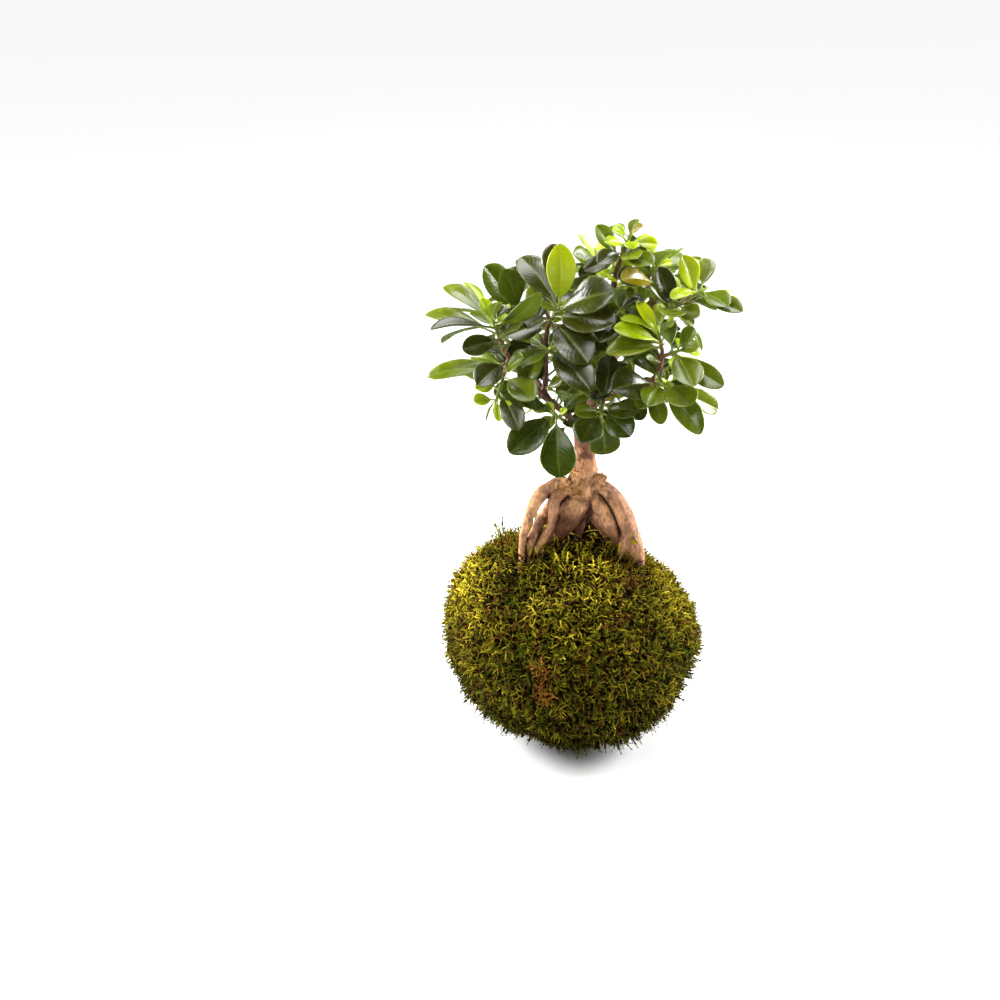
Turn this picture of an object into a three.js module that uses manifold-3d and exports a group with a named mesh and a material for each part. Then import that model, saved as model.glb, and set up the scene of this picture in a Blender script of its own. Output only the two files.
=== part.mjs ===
// A kokedama: a small fig tree with exposed roots, growing in a ball of soil wrapped in living moss.
// Millimetres, +Z up. The origin is the middle of the flat spot that the ball rests on, and the
// side of the plant that is looked at faces -Y.

import * as THREE from "three";
import { mergeVertices } from "three/addons/utils/BufferGeometryUtils.js";
import Module from "manifold-3d";

const wasm = await Module();
wasm.setup();

// ---- Driving dimensions ----

const BALL_RADIUS = 89; // the moss ball at its widest level
const BALL_MIDDLE = 78; // height of that level
const BALL_RISE = 67; // from that level to the crown of the ball
const BALL_DROP = 81; // half height of the lower part, were it not flat where it rests
const SHOULDER = 2.25; // power of the outline above the middle, 2 being an ellipse
const BALL_LEAN = 4; // fuller on the left above the middle, and a little on the right below it
const LEAN_BELOW = 0.4; // of that lean, below the middle
const MOUND_HEIGHT = 6; // moss heaped between the roots
const MOUND_RADIUS = 36;
const MOSS_THICKNESS = 12;
const LUMP_HEIGHT = 0.9; // broad waves of the moss
const TUFT_HEIGHT = 2.4; // rough surface of the moss, up and down from those waves
const REST_MIDDLE = [6, 4]; // of the fan of facets underneath, so that the origin lies within one
const FIT_GAP = 0.3; // between a piece and the one that it is grown into

const ROOT_DEPTH = 26; // how far a root runs on below the face of the moss
const ROOT_FLARE = 1.04; // further out from the middle halfway down there
const BLADE_THICKNESS = 0.9;
const BLADE_CLEARANCE = 0.4; // between a leaf and whatever is next to it
const PETIOLE_WIDTH = 1.6;
const PETIOLE_LENGTH = 4; // on a small leaf, at most the next share of the leaf's length
const PETIOLE_SHARE = 0.2;
const BLADE_FOLD = 0.24; // rise of the blade's edge over its rib, per half width
const BLADE_ARCH = 0.06; // rise of the rib's middle, per length
const BLADE_FROM = 0.3; // of a leaf's length: what lies nearer its foot may touch its neighbours
const HIDDEN_SLIMNESS = 0.46; // width per length of the leaves on the side turned away
const FAR_SLIMNESS = 0.48; // and of those on the far side
const FOLDED_FROM = 42; // leaves of this length and more are folded along the rib
const SMALL_BELOW = 21; // leaves shorter than this have the fewest faces
const SHOOT_RADIUS = 1.4;
const FOOT_OFFSET = 0.75; // of a leaf's foot from the middle of the shoot
const FOOT_DEPTH = 1.5; // how far a petiole is sunk in behind its foot
const BUD_LENGTH = 6;

// Faces: sides of a round piece, and the length or number of its steps.
const MOSS_SIDES = 48;
const MOSS_LEVELS = 23;
const SOIL_SIDES = 20;
const SOIL_LEVELS = 8;
const ROOT_SIDES = 7;
const ROOT_STEP = 13.5;
const BRANCH_SIDES = 5;
const BRANCH_STEP = 14.5;
const TRUNK_SIDES = 9;
const TRUNK_STEP = 8;

// ---- Wood: the middle line of each limb as [x, y, z, radius] ----

const TRUNK = [
  [4, 0, 169, 9], [4.5, -1, 177, 12], [5.5, -1, 185, 12.3], [6.6, 0, 192, 10.4], [7, 0, 199, 8.4],
  [6.9, 0, 207, 7.3], [6.9, 0, 215, 7.2], [7, 0.5, 222, 8], [7.5, 1, 228, 7.2], [8, 3, 234, 4.8],
];

const ROOTS = [
  // left, outermost
  [[-6, -3, 190, 8], [-14, -6, 188, 5.2], [-20.5, -9, 185.5, 4.8], [-25.5, -12, 180.5, 4.4],
    [-29.5, -15, 173, 4], [-32.5, -18, 164.5, 3.4], [-34.5, -20, 155.5, 2.7], [-35, -21, 148.5, 2.4],
    [-34.5, -21, 142.5, 2.6]],
  // left, in front
  [[-8.5, -6, 186, 6], [-13, -12, 181.5, 4.2], [-14, -15.5, 175, 3.7], [-15, -17.5, 166.5, 3.4],
    [-19.5, -19, 158, 2.8], [-24, -20, 150, 2.3], [-25, -20, 143.5, 2.5]],
  // left, behind that one
  [[-10.5, 0, 177.5, 6], [-16.5, -5, 174.5, 4.2], [-22, -10, 168.5, 4.2], [-26, -14, 160, 4.4],
    [-29, -17, 152, 4.2], [-29.5, -18, 144, 4]],
  // swollen one under the root crown
  [[5.5, -4, 179, 10], [0, -8, 173.5, 9.3], [-5, -9.5, 166, 8.4], [-11, -8.5, 157, 6.6],
    [-15, -7, 149, 5.2], [-17, -6, 142, 4.5]],
  // middle
  [[8.5, -2, 171, 5], [6.5, -4, 164.5, 3], [4.5, -5, 157, 2.6], [3.5, -5, 150, 2.6]],
  // right, inner
  [[11.5, -4, 183, 7], [16, -9, 177.5, 5.6], [21, -10.5, 170.5, 5.3], [25.5, -9.5, 162, 5],
    [29, -7.5, 152, 4.5], [31, -6, 142.5, 4]],
  // right, inner, behind that one
  [[10, 0, 172.5, 7], [14.5, 1, 164.5, 4.6], [20, 2, 155.5, 3.9], [25, 2, 146.5, 3.6], [26.5, 2, 140.5, 3.5]],
  // right, outermost, with a toe
  [[11, -2, 190, 8.5], [17.5, -4, 187.5, 6.6], [23.5, -7, 184.5, 6], [29, -10, 179, 5.9],
    [33.5, -12, 171, 5.9], [37, -14, 162, 6.1], [40, -15, 152.5, 6.4], [42, -15, 143.5, 6.5],
    [42.5, -14, 136, 6]],
  [[37, -16, 158.5, 4.6], [34, -18, 152, 3.6], [32, -18, 145.5, 3.3], [31, -17, 139.5, 3]],
  // far side
  [[12, 5, 176, 8], [20, 15, 163, 5.5], [27, 21, 151, 4.8], [31, 25, 142, 4.2]],
  [[2, 5, 181, 8], [-4, 17, 173, 6], [-11, 26, 163, 5], [-15, 32, 150, 4.4], [-17, 36, 141, 3.8]],
  [[11, 5, 183, 8], [20, 17, 176, 6], [29, 27, 165, 5], [35, 34, 152, 4.6], [38, 38, 141, 4]],
];

const BRANCHES = [
  // low on the left, rising to the left end of the crown, with three side branches
  [[5, 0, 222, 5], [0, -5, 232, 3], [-5, -9, 240, 2.6], [-17, -15, 252, 2.4], [-27, -20, 262, 2.2],
    [-37, -24, 275, 2], [-45, -26, 287, 1.8], [-47, -26, 290, 1.6]],
  [[-22, -17, 256, 2.2], [-20, -12, 265, 2], [-20, -9, 277, 1.9], [-20, -7, 288, 1.8], [-19, -6, 300, 1.6]],
  [[-20, -8, 284, 1.8], [-24, 2, 290, 1.7], [-30, 12, 296, 1.6]],
  [[-17, -15, 252, 2.2], [-28, 2, 264, 2], [-40, 20, 276, 1.8], [-50, 30, 286, 1.6]],
  // leader
  [[8, 2, 228, 5.6], [12, 8, 245, 4.2], [17, 12, 263, 3.6], [22, 10, 282, 3.2], [24, 8, 303, 2.8],
    [24, 6, 324, 2.3], [28, 4, 342, 1.7]],
  [[24, 8, 303, 2.4], [22, 14, 310, 2], [19, 20, 317, 1.6]],
  // right, rising to the right end of the crown
  [[10, 6, 240, 3.4], [17, -3, 250, 2.8], [24, -10, 256, 2.5], [33, -17, 260, 2.3], [43, -22, 265, 2.2],
    [50, -26, 272, 2], [53, -27, 281, 1.8], [54, -26, 289, 1.6]],
  [[18, -4, 251, 2.2], [18, -9, 252, 1.9], [18, -14, 251, 1.6]],
  // high on the right
  [[24, 8, 299, 2.8], [32, 4, 305, 2.3], [42, -1, 310, 2.1], [50, -5, 312, 2], [58, -8, 312, 1.8],
    [66, -10, 316, 1.6]],
  [[48, -4, 311, 2], [50, -3, 318, 1.7], [49, -2, 324, 1.6]],
  // short twig under the left branch
  [[5, -2, 224, 3], [2, -9, 230, 1.9], [-2, -14, 234, 1.5]],
  // far side, left to right
  [[11, 7, 240, 3.6], [4, 28, 256, 2.8], [-8, 44, 274, 2.2], [-18, 54, 292, 1.6]],
  [[10, 5, 236, 3], [14, 26, 244, 2.2], [15, 42, 248, 1.6]],
  [[17, 12, 262, 3], [32, 32, 272, 2.4], [48, 44, 286, 2], [58, 50, 300, 1.6]],
  [[22, 10, 282, 2.6], [18, 30, 296, 2.1], [14, 42, 310, 1.6]],
  [[24, 8, 302, 2.6], [38, 24, 308, 2.1], [52, 34, 318, 1.6]],
];

// A broken-off twig on the neck, right above the roots.
const STUB = [[15, -5, 195, 2.8], [18.5, -8, 196, 2.2], [21.5, -10, 196.5, 2]];

// ---- Leaves ----
// Each spray is one shoot. A row is a leaf: [place along the shoot, heading, rise, length, width, roll],
// with the angles in degrees. Heading 0 points to +X and -90 to the side that is looked at.

const SPRAYS = {
  spray_left: {
    from: [-47, -26, 289],
    to: [-54, -24, 308],
    leaves: [
      [0.95, 140, 25, 46, 13, 10], [0.8, -155, 10, 44, 14, 35], [0.6, 160, 10, 50, 14, 20],
      [0.4, -140, 0, 30, 14, -25], [0.45, -70, 25, 36, 20, 0], [1, -75, 55, 20, 9, 0],
      [1, -155, 65, 18, 8, 0], [0.9, -30, 35, 40, 14, 70], [0.7, 60, 5, 32, 14, 0],
    ],
  },
  spray_left_behind: {
    from: [-30, 12, 296],
    to: [-42, 22, 304],
    leaves: [
      [0.9, -140, 55, 40, 22, 0], [0.7, -120, 55, 37, 20, 0], [1, 80, 30, 40, 19, 0],
      [0.5, 135, 5, 38, 18, 0], [0.4, 60, 30, 34, 15, 0],
    ],
  },
  spray_crown: {
    from: [-19, -6, 300],
    to: [-11, -8, 314],
    leaves: [
      [0.9, 135, 40, 44, 21, 0], [1, 100, 50, 42, 19, 0], [1, -90, 80, 42, 19, 0],
      [0.95, -25, 25, 24, 8, 0], [0.8, -115, 20, 24, 12, 0], [0.7, -35, 20, 46, 27, 0],
      [0.5, -35, 5, 46, 25, 0], [0.35, -115, 20, 38, 18, 30], [0.3, -60, -20, 46, 25, 0],
      [0.25, -155, -15, 34, 17, 0], [0.15, -10, -20, 40, 19, 0],
    ],
  },
  spray_middle: {
    from: [-20, -8, 283],
    to: [-18, -20, 289],
    leaves: [
      [0.9, -55, -20, 46, 23, 0], [0.9, -125, 0, 33, 17, 20], [0.6, -120, -25, 34, 17, 20],
      [0.4, 135, 0, 34, 17, 0], [0.25, -15, -20, 36, 18, 0], [0.2, 175, -20, 30, 14, 0],
    ],
  },
  spray_left_low: {
    from: [-44, -27, 285],
    to: [-52, -44, 262],
    leaves: [
      [0.25, 180, -5, 50, 16, 15], [0.15, -125, -10, 32, 18, 0], [0.2, 145, 5, 28, 10, 0],
      [0.35, -60, 45, 26, 15, 0], [0.45, -50, -15, 30, 18, 0], [0.6, -150, 0, 18, 12, 0],
      [0.8, -65, -30, 32, 15, 0], [1, -140, 10, 18, 10, 0], [1, -85, -35, 16, 6, 0],
      [0.95, -55, -10, 14, 8, 0], [0.95, 180, -65, 16, 7, 70],
    ],
  },
  spray_low: {
    from: [-2, -14, 234],
    to: [-15, -26, 247],
    leaves: [
      [0.95, -140, 30, 34, 15, 20], [0.95, -135, -20, 43, 22, 0], [0.85, -85, -55, 40, 24, 0],
      [0.7, 55, 15, 38, 16, 0], [1, -120, 50, 14, 5, 0],
    ],
  },
  spray_low_right: {
    from: [18, -14, 251],
    to: [16, -24, 247],
    leaves: [
      [1, -135, 15, 24, 12, 0], [0.8, 155, -25, 26, 11, 0], [1, -120, -25, 28, 20, 0],
      [1, -55, -20, 29, 20, 0], [0.9, 45, -80, 32, 21, 0], [0.8, -45, 15, 30, 16, 0],
      [0.5, 100, 30, 30, 13, 0],
    ],
  },
  spray_right: {
    from: [54, -26, 289],
    to: [51, -28, 302],
    leaves: [
      [0.25, -155, 5, 38, 18, 15], [0.2, 140, -25, 34, 15, 20], [0.5, -155, 25, 35, 14, 10],
      [0.4, 145, -5, 36, 13, 0], [0.8, -170, 60, 27, 9, 0], [0.85, 135, 30, 30, 13, 0],
      [0.9, -60, 45, 20, 13, 0], [1, 85, 45, 22, 9, 0], [0.9, -165, 30, 28, 10, 30],
    ],
  },
  spray_right_low: {
    from: [47, -25, 267],
    to: [57, -38, 271],
    leaves: [
      [0.2, -135, 10, 38, 25, 0], [0.4, -120, -10, 26, 14, 0], [0.6, -110, -10, 28, 17, 0],
      [0.9, -65, -5, 32, 21, 0], [0.8, -60, -25, 44, 18, 0], [1, 25, -30, 44, 15, 10],
      [1, -45, -30, 36, 7, 40],
    ],
  },
  spray_right_out: {
    from: [54, -27, 286],
    to: [62, -36, 292],
    leaves: [
      [0.6, -45, -15, 44, 15, 20], [0.9, -75, -25, 36, 20, 0], [1, -50, 25, 20, 10, 0],
      [1, 75, 15, 16, 7, 0], [0.8, -85, -15, 18, 12, 0], [0.7, 20, -35, 38, 9, 0],
    ],
  },
  spray_right_high: {
    from: [66, -10, 316],
    to: [78, -14, 325],
    leaves: [
      [0.7, -130, 65, 30, 15, 0], [0.8, 95, 40, 28, 12, 0], [1, 70, 35, 26, 12, 0],
      [1, 30, -20, 36, 12, 0], [1, -65, 0, 32, 15, 0], [0.9, -50, -5, 38, 14, 0],
      [0.9, -140, 5, 24, 10, 10],
    ],
  },
  spray_right_middle: {
    from: [58, -8, 312],
    to: [61, -18, 314],
    leaves: [
      [0.8, -95, -5, 34, 18, 0], [0.8, 20, -50, 38, 5, 0], [0.5, -150, 35, 24, 12, 0],
      [0.9, -145, 65, 32, 16, 0], [1, 90, 50, 24, 9, 0], [1, -75, 35, 20, 9, 0],
    ],
  },
  spray_upper_right: {
    from: [49, -2, 324],
    to: [49, 0, 337],
    leaves: [
      [0.8, -65, 45, 28, 15, 0], [0.6, 50, 20, 32, 15, 0], [0.3, -145, 15, 30, 16, 0],
      [0.2, -130, 5, 34, 16, 0], [1, 100, 25, 24, 11, 0], [0.9, 115, 5, 28, 13, 0],
    ],
  },
  spray_top: {
    from: [28, 4, 342],
    to: [33, 2, 356],
    leaves: [
      [1, -70, 55, 18, 7, 0], [1, 60, 20, 18, 5, 0], [0.8, 120, 20, 20, 7, 0],
      [0.9, -85, -5, 16, 10, 0], [0.6, -130, 20, 22, 9, 0], [0.3, -60, 0, 32, 15, 0],
      [0.25, -125, 0, 28, 13, 0], [0.7, 35, 0, 22, 9, 0], [0.2, -75, -10, 28, 14, 0],
      [0.1, -160, -15, 26, 12, 0], [0.1, -20, -20, 28, 13, 0],
    ],
  },
  spray_upper_middle: {
    from: [19, 20, 317],
    to: [14, 26, 332],
    leaves: [
      [1, -135, 55, 28, 10, 30], [0.8, -125, 30, 34, 18, 0], [0.6, -55, 25, 30, 13, 0],
      [0.5, -120, 15, 30, 13, 0], [0.9, 75, 30, 26, 11, 0], [0.7, 115, -10, 36, 15, 0],
      [0.3, -75, 10, 28, 13, 0], [0.15, -30, -5, 30, 14, 0], [0.75, -90, 5, 24, 12, 0],
    ],
  },
  spray_inner: {
    from: [23, 8, 285],
    to: [23, -8, 286],
    leaves: [
      [0.8, -100, -30, 38, 20, 0], [0.6, 130, -50, 28, 13, 0], [0.9, -140, 20, 38, 17, 0],
      [0.5, 50, -40, 36, 16, 0], [0.25, -10, -15, 34, 16, 0],
    ],
  },
  spray_inner_high: {
    from: [25, 6, 303],
    to: [29, -12, 312],
    leaves: [
      [1, -75, -5, 20, 9, 0], [0.8, -115, 0, 36, 17, 0], [0.7, -105, 45, 32, 14, 0],
      [0.7, -65, 30, 32, 14, 0], [0.3, -150, -20, 32, 15, 0], [0.35, -30, -25, 32, 15, 0],
    ],
  },
};

// Sprays of the far side, by the rule in farLeaves: [from, to, leaf count, longest leaf, first heading].
const FAR_SPRAYS = {
  spray_far_left: [[-50, 30, 286], [-62, 42, 298], 7, 42, 150],
  spray_far_left_middle: [[-18, 54, 292], [-24, 62, 308], 7, 42, 100],
  spray_far_low: [[15, 42, 248], [17, 56, 256], 6, 36, 80],
  spray_far_right: [[58, 50, 300], [68, 56, 312], 7, 40, 40],
  spray_far_middle: [[14, 42, 310], [12, 50, 322], 6, 36, 95],
  spray_far_upper_right: [[52, 34, 318], [60, 40, 328], 6, 32, 60],
};
const GOLDEN_ANGLE = 137.5;
const FIRST_SEED = 4711;

// Which way the upper face of the leaves looks on the two sides of the crown. A leaf that points
// there itself, to within the cosine below, faces up instead.
const NEAR_LIGHT = new THREE.Vector3(0, -0.7, 0.7);
const FAR_LIGHT = new THREE.Vector3(0, 0.5, 0.8);
const TO_LIGHT = 0.92;

// ---- Colours ----

function finish(color, roughness) {
  return new THREE.MeshStandardMaterial({ color, roughness, metalness: 0, flatShading: true });
}

const MOSS = finish(0x6f7a1f, 0.95);
const SOIL = finish(0x3a2a1c, 1);
const BARK = finish(0xb08c6c, 0.8);
const LEAF = finish(0x42661c, 0.35);

// ---- Solids from rings ----

// Joins rings of points into one closed skin. The first and last ring are single points, and each
// ring turns clockwise as seen from the ring before it. otherSplit says on which sides of the ring
// the four-sided faces are split along their other diagonal.
function skin(rings, otherSplit = () => false) {
  const points = rings.flat();
  const faces = [];
  let start = 0;
  for (let k = 1; k < rings.length; k++) {
    const near = rings[k - 1].length;
    const far = rings[k].length;
    const sides = Math.max(near, far);
    for (let j = 0; j < sides; j++) {
      const a = start + (j % near);
      const b = start + ((j + 1) % near);
      const c = start + near + ((j + 1) % far);
      const d = start + near + (j % far);
      if (near === 1) faces.push(a, c, d);
      else if (far === 1) faces.push(a, b, c);
      else if (otherSplit(j)) faces.push(a, b, d, b, c, d);
      else faces.push(a, b, c, a, c, d);
    }
    start += near;
  }
  const geometry = new THREE.BufferGeometry().setFromPoints(points);
  geometry.setIndex(faces);
  return geometry;
}

function toSolid(geometry) {
  const merged = mergeVertices(geometry, 1e-4);
  const mesh = new wasm.Mesh({
    numProp: 3,
    vertProperties: merged.attributes.position.array,
    triVerts: new Uint32Array(merged.index.array),
  });
  return new wasm.Manifold(mesh);
}

function joined(solids) {
  return solids.reduce((whole, next) => whole.add(next));
}

// Cutting can leave a loose scrap: only the largest body is kept.
function largestBody(solid) {
  const bodies = solid.decompose();
  return bodies.reduce((best, next) => (next.volume() > best.volume() ? next : best));
}

function toMesh(name, solid, material) {
  const { vertProperties, triVerts } = solid.getMesh();
  const geometry = new THREE.BufferGeometry();
  geometry.setAttribute("position", new THREE.BufferAttribute(vertProperties, 3));
  geometry.setIndex(new THREE.BufferAttribute(triVerts, 1));
  const mesh = new THREE.Mesh(geometry, material);
  mesh.name = name;
  return mesh;
}

// A round limb along a smooth curve through its points, thicker all round by extra.
function limb(path, sides, spacing, extra = 0) {
  const curve = new THREE.CatmullRomCurve3(path.map(([x, y, z]) => new THREE.Vector3(x, y, z)));
  const steps = Math.max(2, Math.round(curve.getLength() / spacing));
  const up = new THREE.Vector3(0, 1, 0);
  const rings = [];
  for (let k = 0; k <= steps; k++) {
    const t = k / steps;
    const at = curve.getPoint(t);
    const along = curve.getTangent(t);
    up.addScaledVector(along, -up.dot(along)).normalize();
    const side = new THREE.Vector3().crossVectors(along, up);
    const place = t * (path.length - 1);
    const before = Math.min(Math.floor(place), path.length - 2);
    const radius = THREE.MathUtils.lerp(path[before][3], path[before + 1][3], place - before) + extra;
    const ring = [];
    for (let j = 0; j < sides; j++) {
      const angle = (j / sides) * 2 * Math.PI;
      const out = up.clone().multiplyScalar(Math.cos(angle)).addScaledVector(side, Math.sin(angle));
      ring.push(at.clone().addScaledVector(out, radius));
    }
    if (k === 0) rings.push([at.clone().addScaledVector(along, -radius * 0.3)]);
    rings.push(ring);
    if (k === steps) rings.push([at.clone().addScaledVector(along, radius * 0.4)]);
  }
  return toSolid(skin(rings));
}

// ---- Moss ball and soil ----

// Height above the smooth ball of the moss at a compass angle and a level: a lean to one side, and
// broad waves for the lumps.
function mossForm(angle, level) {
  const leaning = level > 0 ? Math.sin(2 * level) : -LEAN_BELOW * Math.sin(level) ** 2;
  const lumps = Math.sin(2 * angle + 3.4) + Math.sin(3 * angle + 4 * level + 1);
  return -BALL_LEAN * Math.cos(angle) * leaning + LUMP_HEIGHT * lumps;
}

// The tufts: a scattered number from -1 to 1 for each point of the grid.
function tuft(side, level) {
  const scattered = Math.sin(12.9898 * side + 78.233 * level) * 43758.5453;
  return 2 * (scattered - Math.floor(scattered)) - 1;
}

// The ball as rings from the ground up. depth is how far it lies inside the face of the moss, and
// the rough surface is left out of the inner ones.
function ball(depth, sides, levels, rough) {
  const rise = BALL_RISE - depth;
  const drop = BALL_DROP - depth;
  const lowest = Math.asin((BALL_MIDDLE - depth) / drop);
  const rings = [[new THREE.Vector3(...REST_MIDDLE, depth)]];
  for (let k = 0; k < levels; k++) {
    const level = -lowest + (k / levels) * (lowest + Math.PI / 2);
    const fade = rough ? Math.min(1, (k / levels) * 6) : 0;
    const ring = [];
    for (let j = 0; j < sides; j++) {
      const angle = ((j + (k % 2) / 2) / sides) * 2 * Math.PI;
      const relief = fade * (mossForm(angle, level) + TUFT_HEIGHT * tuft(j, k));
      const power = level > 0 ? 2 / SHOULDER : 1;
      const radius = (BALL_RADIUS - depth + relief) * Math.cos(level) ** power;
      const mound = MOUND_HEIGHT * Math.exp(-((radius / MOUND_RADIUS) ** 2));
      const above = (rise + relief) * Math.sin(Math.max(level, 0)) ** power + (level > 0 ? mound : 0);
      const below = (drop + relief) * Math.sin(Math.min(level, 0));
      const height = BALL_MIDDLE + above + below;
      ring.push(new THREE.Vector3(radius * Math.cos(angle), radius * Math.sin(angle), k ? height : depth));
    }
    rings.push(ring);
  }
  rings.push([new THREE.Vector3(0, 0, BALL_MIDDLE + rise + MOUND_HEIGHT)]);
  return toSolid(skin(rings));
}

// ---- Wood ----

// Roots run on below the moss, thinner and steeper, into the soil.
function rootedPath(path) {
  const [x, y, z, radius] = path[path.length - 1];
  const halfway = [x * ROOT_FLARE, y * ROOT_FLARE, z - ROOT_DEPTH / 2, radius * 0.85];
  return [...path, halfway, [x, y, z - ROOT_DEPTH, radius * 0.5]];
}

function wood(extra = 0) {
  const roots = ROOTS.map((path) => limb(rootedPath(path), ROOT_SIDES, ROOT_STEP, extra));
  const branches = BRANCHES.map((path) => limb(path, BRANCH_SIDES, BRANCH_STEP, extra));
  const neck = limb(TRUNK, TRUNK_SIDES, TRUNK_STEP, extra);
  return joined([neck, limb(STUB, BRANCH_SIDES, TRUNK_STEP, extra), ...roots, ...branches]);
}

// ---- Leaves and sprays ----

function direction(heading, rise) {
  const a = THREE.MathUtils.degToRad(heading);
  const e = THREE.MathUtils.degToRad(rise);
  return new THREE.Vector3(Math.cos(e) * Math.cos(a), Math.cos(e) * Math.sin(a), Math.sin(e));
}

// A blade's half width is a sine, pushed towards the tip and rounded off, between petiole and tip.
function halfWidth(t, petiole, width) {
  const s = (t - petiole) / (1 - petiole);
  return Math.max((width / 2) * Math.sin(Math.PI * s ** 1.2) ** 0.7, PETIOLE_WIDTH / 2);
}

// One leaf from its foot on the shoot: a slightly arched blade whose tip stays on the straight line
// from the foot. extra thickens it for the test of what it would touch.
function leaf(foot, [, heading, rise, length, width, roll], light, from = 0, extra = 0) {
  const along = direction(heading, rise);
  const towards = Math.abs(along.dot(light)) > TO_LIGHT ? new THREE.Vector3(0, 0, 1) : light;
  const side = new THREE.Vector3().crossVectors(along, towards).normalize();
  side.applyAxisAngle(along, THREE.MathUtils.degToRad(roll));
  const face = new THREE.Vector3().crossVectors(side, along);
  const folded = length >= FOLDED_FROM;
  const small = length < SMALL_BELOW;
  const blade = folded ? [0.3, 0.56, 0.82] : small ? [0.5] : [0.4, 0.76];
  const petiole = Math.min(PETIOLE_SHARE, PETIOLE_LENGTH / length);
  const rings = [];
  for (const t of [petiole, ...blade]) {
    if (t < from) continue;
    const rib = foot.clone().addScaledVector(along, length * t);
    rib.addScaledVector(face, length * BLADE_ARCH * 4 * t * (1 - t));
    const half = halfWidth(t, petiole, width) + extra;
    const rim = half * BLADE_FOLD;
    const thick = (t === petiole ? PETIOLE_WIDTH : BLADE_THICKNESS) / 2 + extra;
    const across = folded ? [[-half, rim], [0, 0], [half, rim]] : [[-half, 0], [half, 0]];
    const at = (x, up) => rib.clone().addScaledVector(side, x).addScaledVector(face, up);
    const upper = across.map(([x, up]) => at(x, up + thick));
    const lower = across.map(([x, up]) => at(x, up - thick)).reverse();
    if (rings.length === 0) rings.push([from ? rib : foot.clone().addScaledVector(along, -FOOT_DEPTH)]);
    rings.push([...upper, ...lower]);
  }
  rings.push([foot.clone().addScaledVector(along, length + extra)]);
  return toSolid(skin(rings, (j) => folded && j % 3 === 1));
}

// Turns that a leaf may take to keep clear, the smallest first: [heading, rise, share of length].
const TURNS = [];
for (const share of [1, 0.9, 0.8, 0.7]) {
  for (const heading of [0, 8, -8, 16, -16, 24, -24]) {
    for (const rise of [0, 7, -7, 14, -14, 21, -21]) TURNS.push([heading, rise, share]);
  }
}
const effort = ([heading, rise, share]) => Math.abs(heading) / 8 + Math.abs(rise) / 7 + (1 - share) * 14;
TURNS.sort((a, b) => effort(a) - effort(b));

function overlaps(a, b) {
  const p = a.boundingBox();
  const q = b.boundingBox();
  for (let i = 0; i < 3; i++) {
    if (p.min[i] > q.max[i] || q.min[i] > p.max[i]) return false;
  }
  return !a.intersect(b).isEmpty();
}

// A leaf's foot is near the face of the shoot, on the side that the leaf heads to.
function leafFoot(from, to, [place, heading, rise]) {
  const axis = to.clone().sub(from).normalize();
  const out = direction(heading, rise);
  out.addScaledVector(axis, -out.dot(axis)).normalize();
  return from.clone().lerp(to, place).addScaledVector(out, FOOT_OFFSET);
}

// Bends a leaf until it is clear of the wood, of the other sprays and of its own spray's leaves,
// or leaves it out if there is no room. Near its foot it may touch its own spray and the wood.
function fittedLeaf(foot, row, spray, others, trunk) {
  for (const [heading, rise, share] of TURNS) {
    const turned = [row[0], row[1] + heading, row[2] + rise, row[3] * share, row[4] * share, row[5]];
    const whole = leaf(foot, turned, spray.light, 0, BLADE_CLEARANCE);
    if (others.some((other) => overlaps(whole, other))) continue;
    const blade = leaf(foot, turned, spray.light, BLADE_FROM, BLADE_CLEARANCE);
    if (overlaps(blade, trunk) || spray.blades.some((other) => overlaps(blade, other))) continue;
    spray.blades.push(leaf(foot, turned, spray.light, BLADE_FROM));
    return leaf(foot, turned, spray.light);
  }
  return null;
}

// Each near spray also carries two leaves on the side that is turned away.
function hiddenLeaves(leaves, draw) {
  const longest = Math.max(...leaves.map((row) => row[3]));
  return [60, 120].map((heading, k) => {
    const length = longest * (0.68 + 0.1 * draw());
    const turned = heading + 24 * (draw() - 0.5);
    return [0.4 + 0.35 * k, turned, 8 + 20 * draw(), length, length * HIDDEN_SLIMNESS, 0];
  });
}

// Leaves of the far side stand a golden angle apart round the shoot: long and low at its foot,
// short and steep at its end, each a little off the rule by a seeded draw.
function farLeaves(count, longest, firstHeading, draw) {
  const rows = [];
  for (let k = 0; k < count; k++) {
    const t = k / (count - 1);
    const length = longest * (1 - 0.42 * t) * (0.92 + 0.16 * draw());
    const heading = firstHeading + k * GOLDEN_ANGLE + 16 * (draw() - 0.5);
    const rise = -12 + 62 * t + 14 * (draw() - 0.5);
    const roll = 40 * (draw() - 0.5);
    rows.push([0.25 + 0.75 * t, heading, rise, length, length * FAR_SLIMNESS, roll]);
  }
  return rows;
}

function seededDraw(seed) {
  let state = seed;
  return () => {
    state = (Math.imul(state, 1664525) + 1013904223) >>> 0;
    return state / 4294967296;
  };
}

// The shoot of a spray, drawn out into a pointed bud.
function shoot({ from, to }) {
  const start = new THREE.Vector3(...from);
  const end = new THREE.Vector3(...to);
  const bud = end.clone().addScaledVector(end.clone().sub(start).normalize(), BUD_LENGTH);
  const middle = start.clone().lerp(end, 0.5);
  return limb(
    [
      [...start, SHOOT_RADIUS], [...middle, SHOOT_RADIUS * 0.92],
      [...end, SHOOT_RADIUS * 0.8], [...bud, 0.35],
    ],
    BRANCH_SIDES, BRANCH_STEP,
  );
}

function allSprays() {
  const draw = seededDraw(FIRST_SEED);
  const sprays = Object.entries(SPRAYS).map(([name, { from, to, leaves }]) => {
    return { name, light: NEAR_LIGHT, from, to, leaves: [...leaves, ...hiddenLeaves(leaves, draw)] };
  });
  for (const [name, [from, to, count, longest, heading]] of Object.entries(FAR_SPRAYS)) {
    sprays.push({ name, light: FAR_LIGHT, from, to, leaves: farLeaves(count, longest, heading, draw) });
  }
  return sprays;
}

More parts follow.
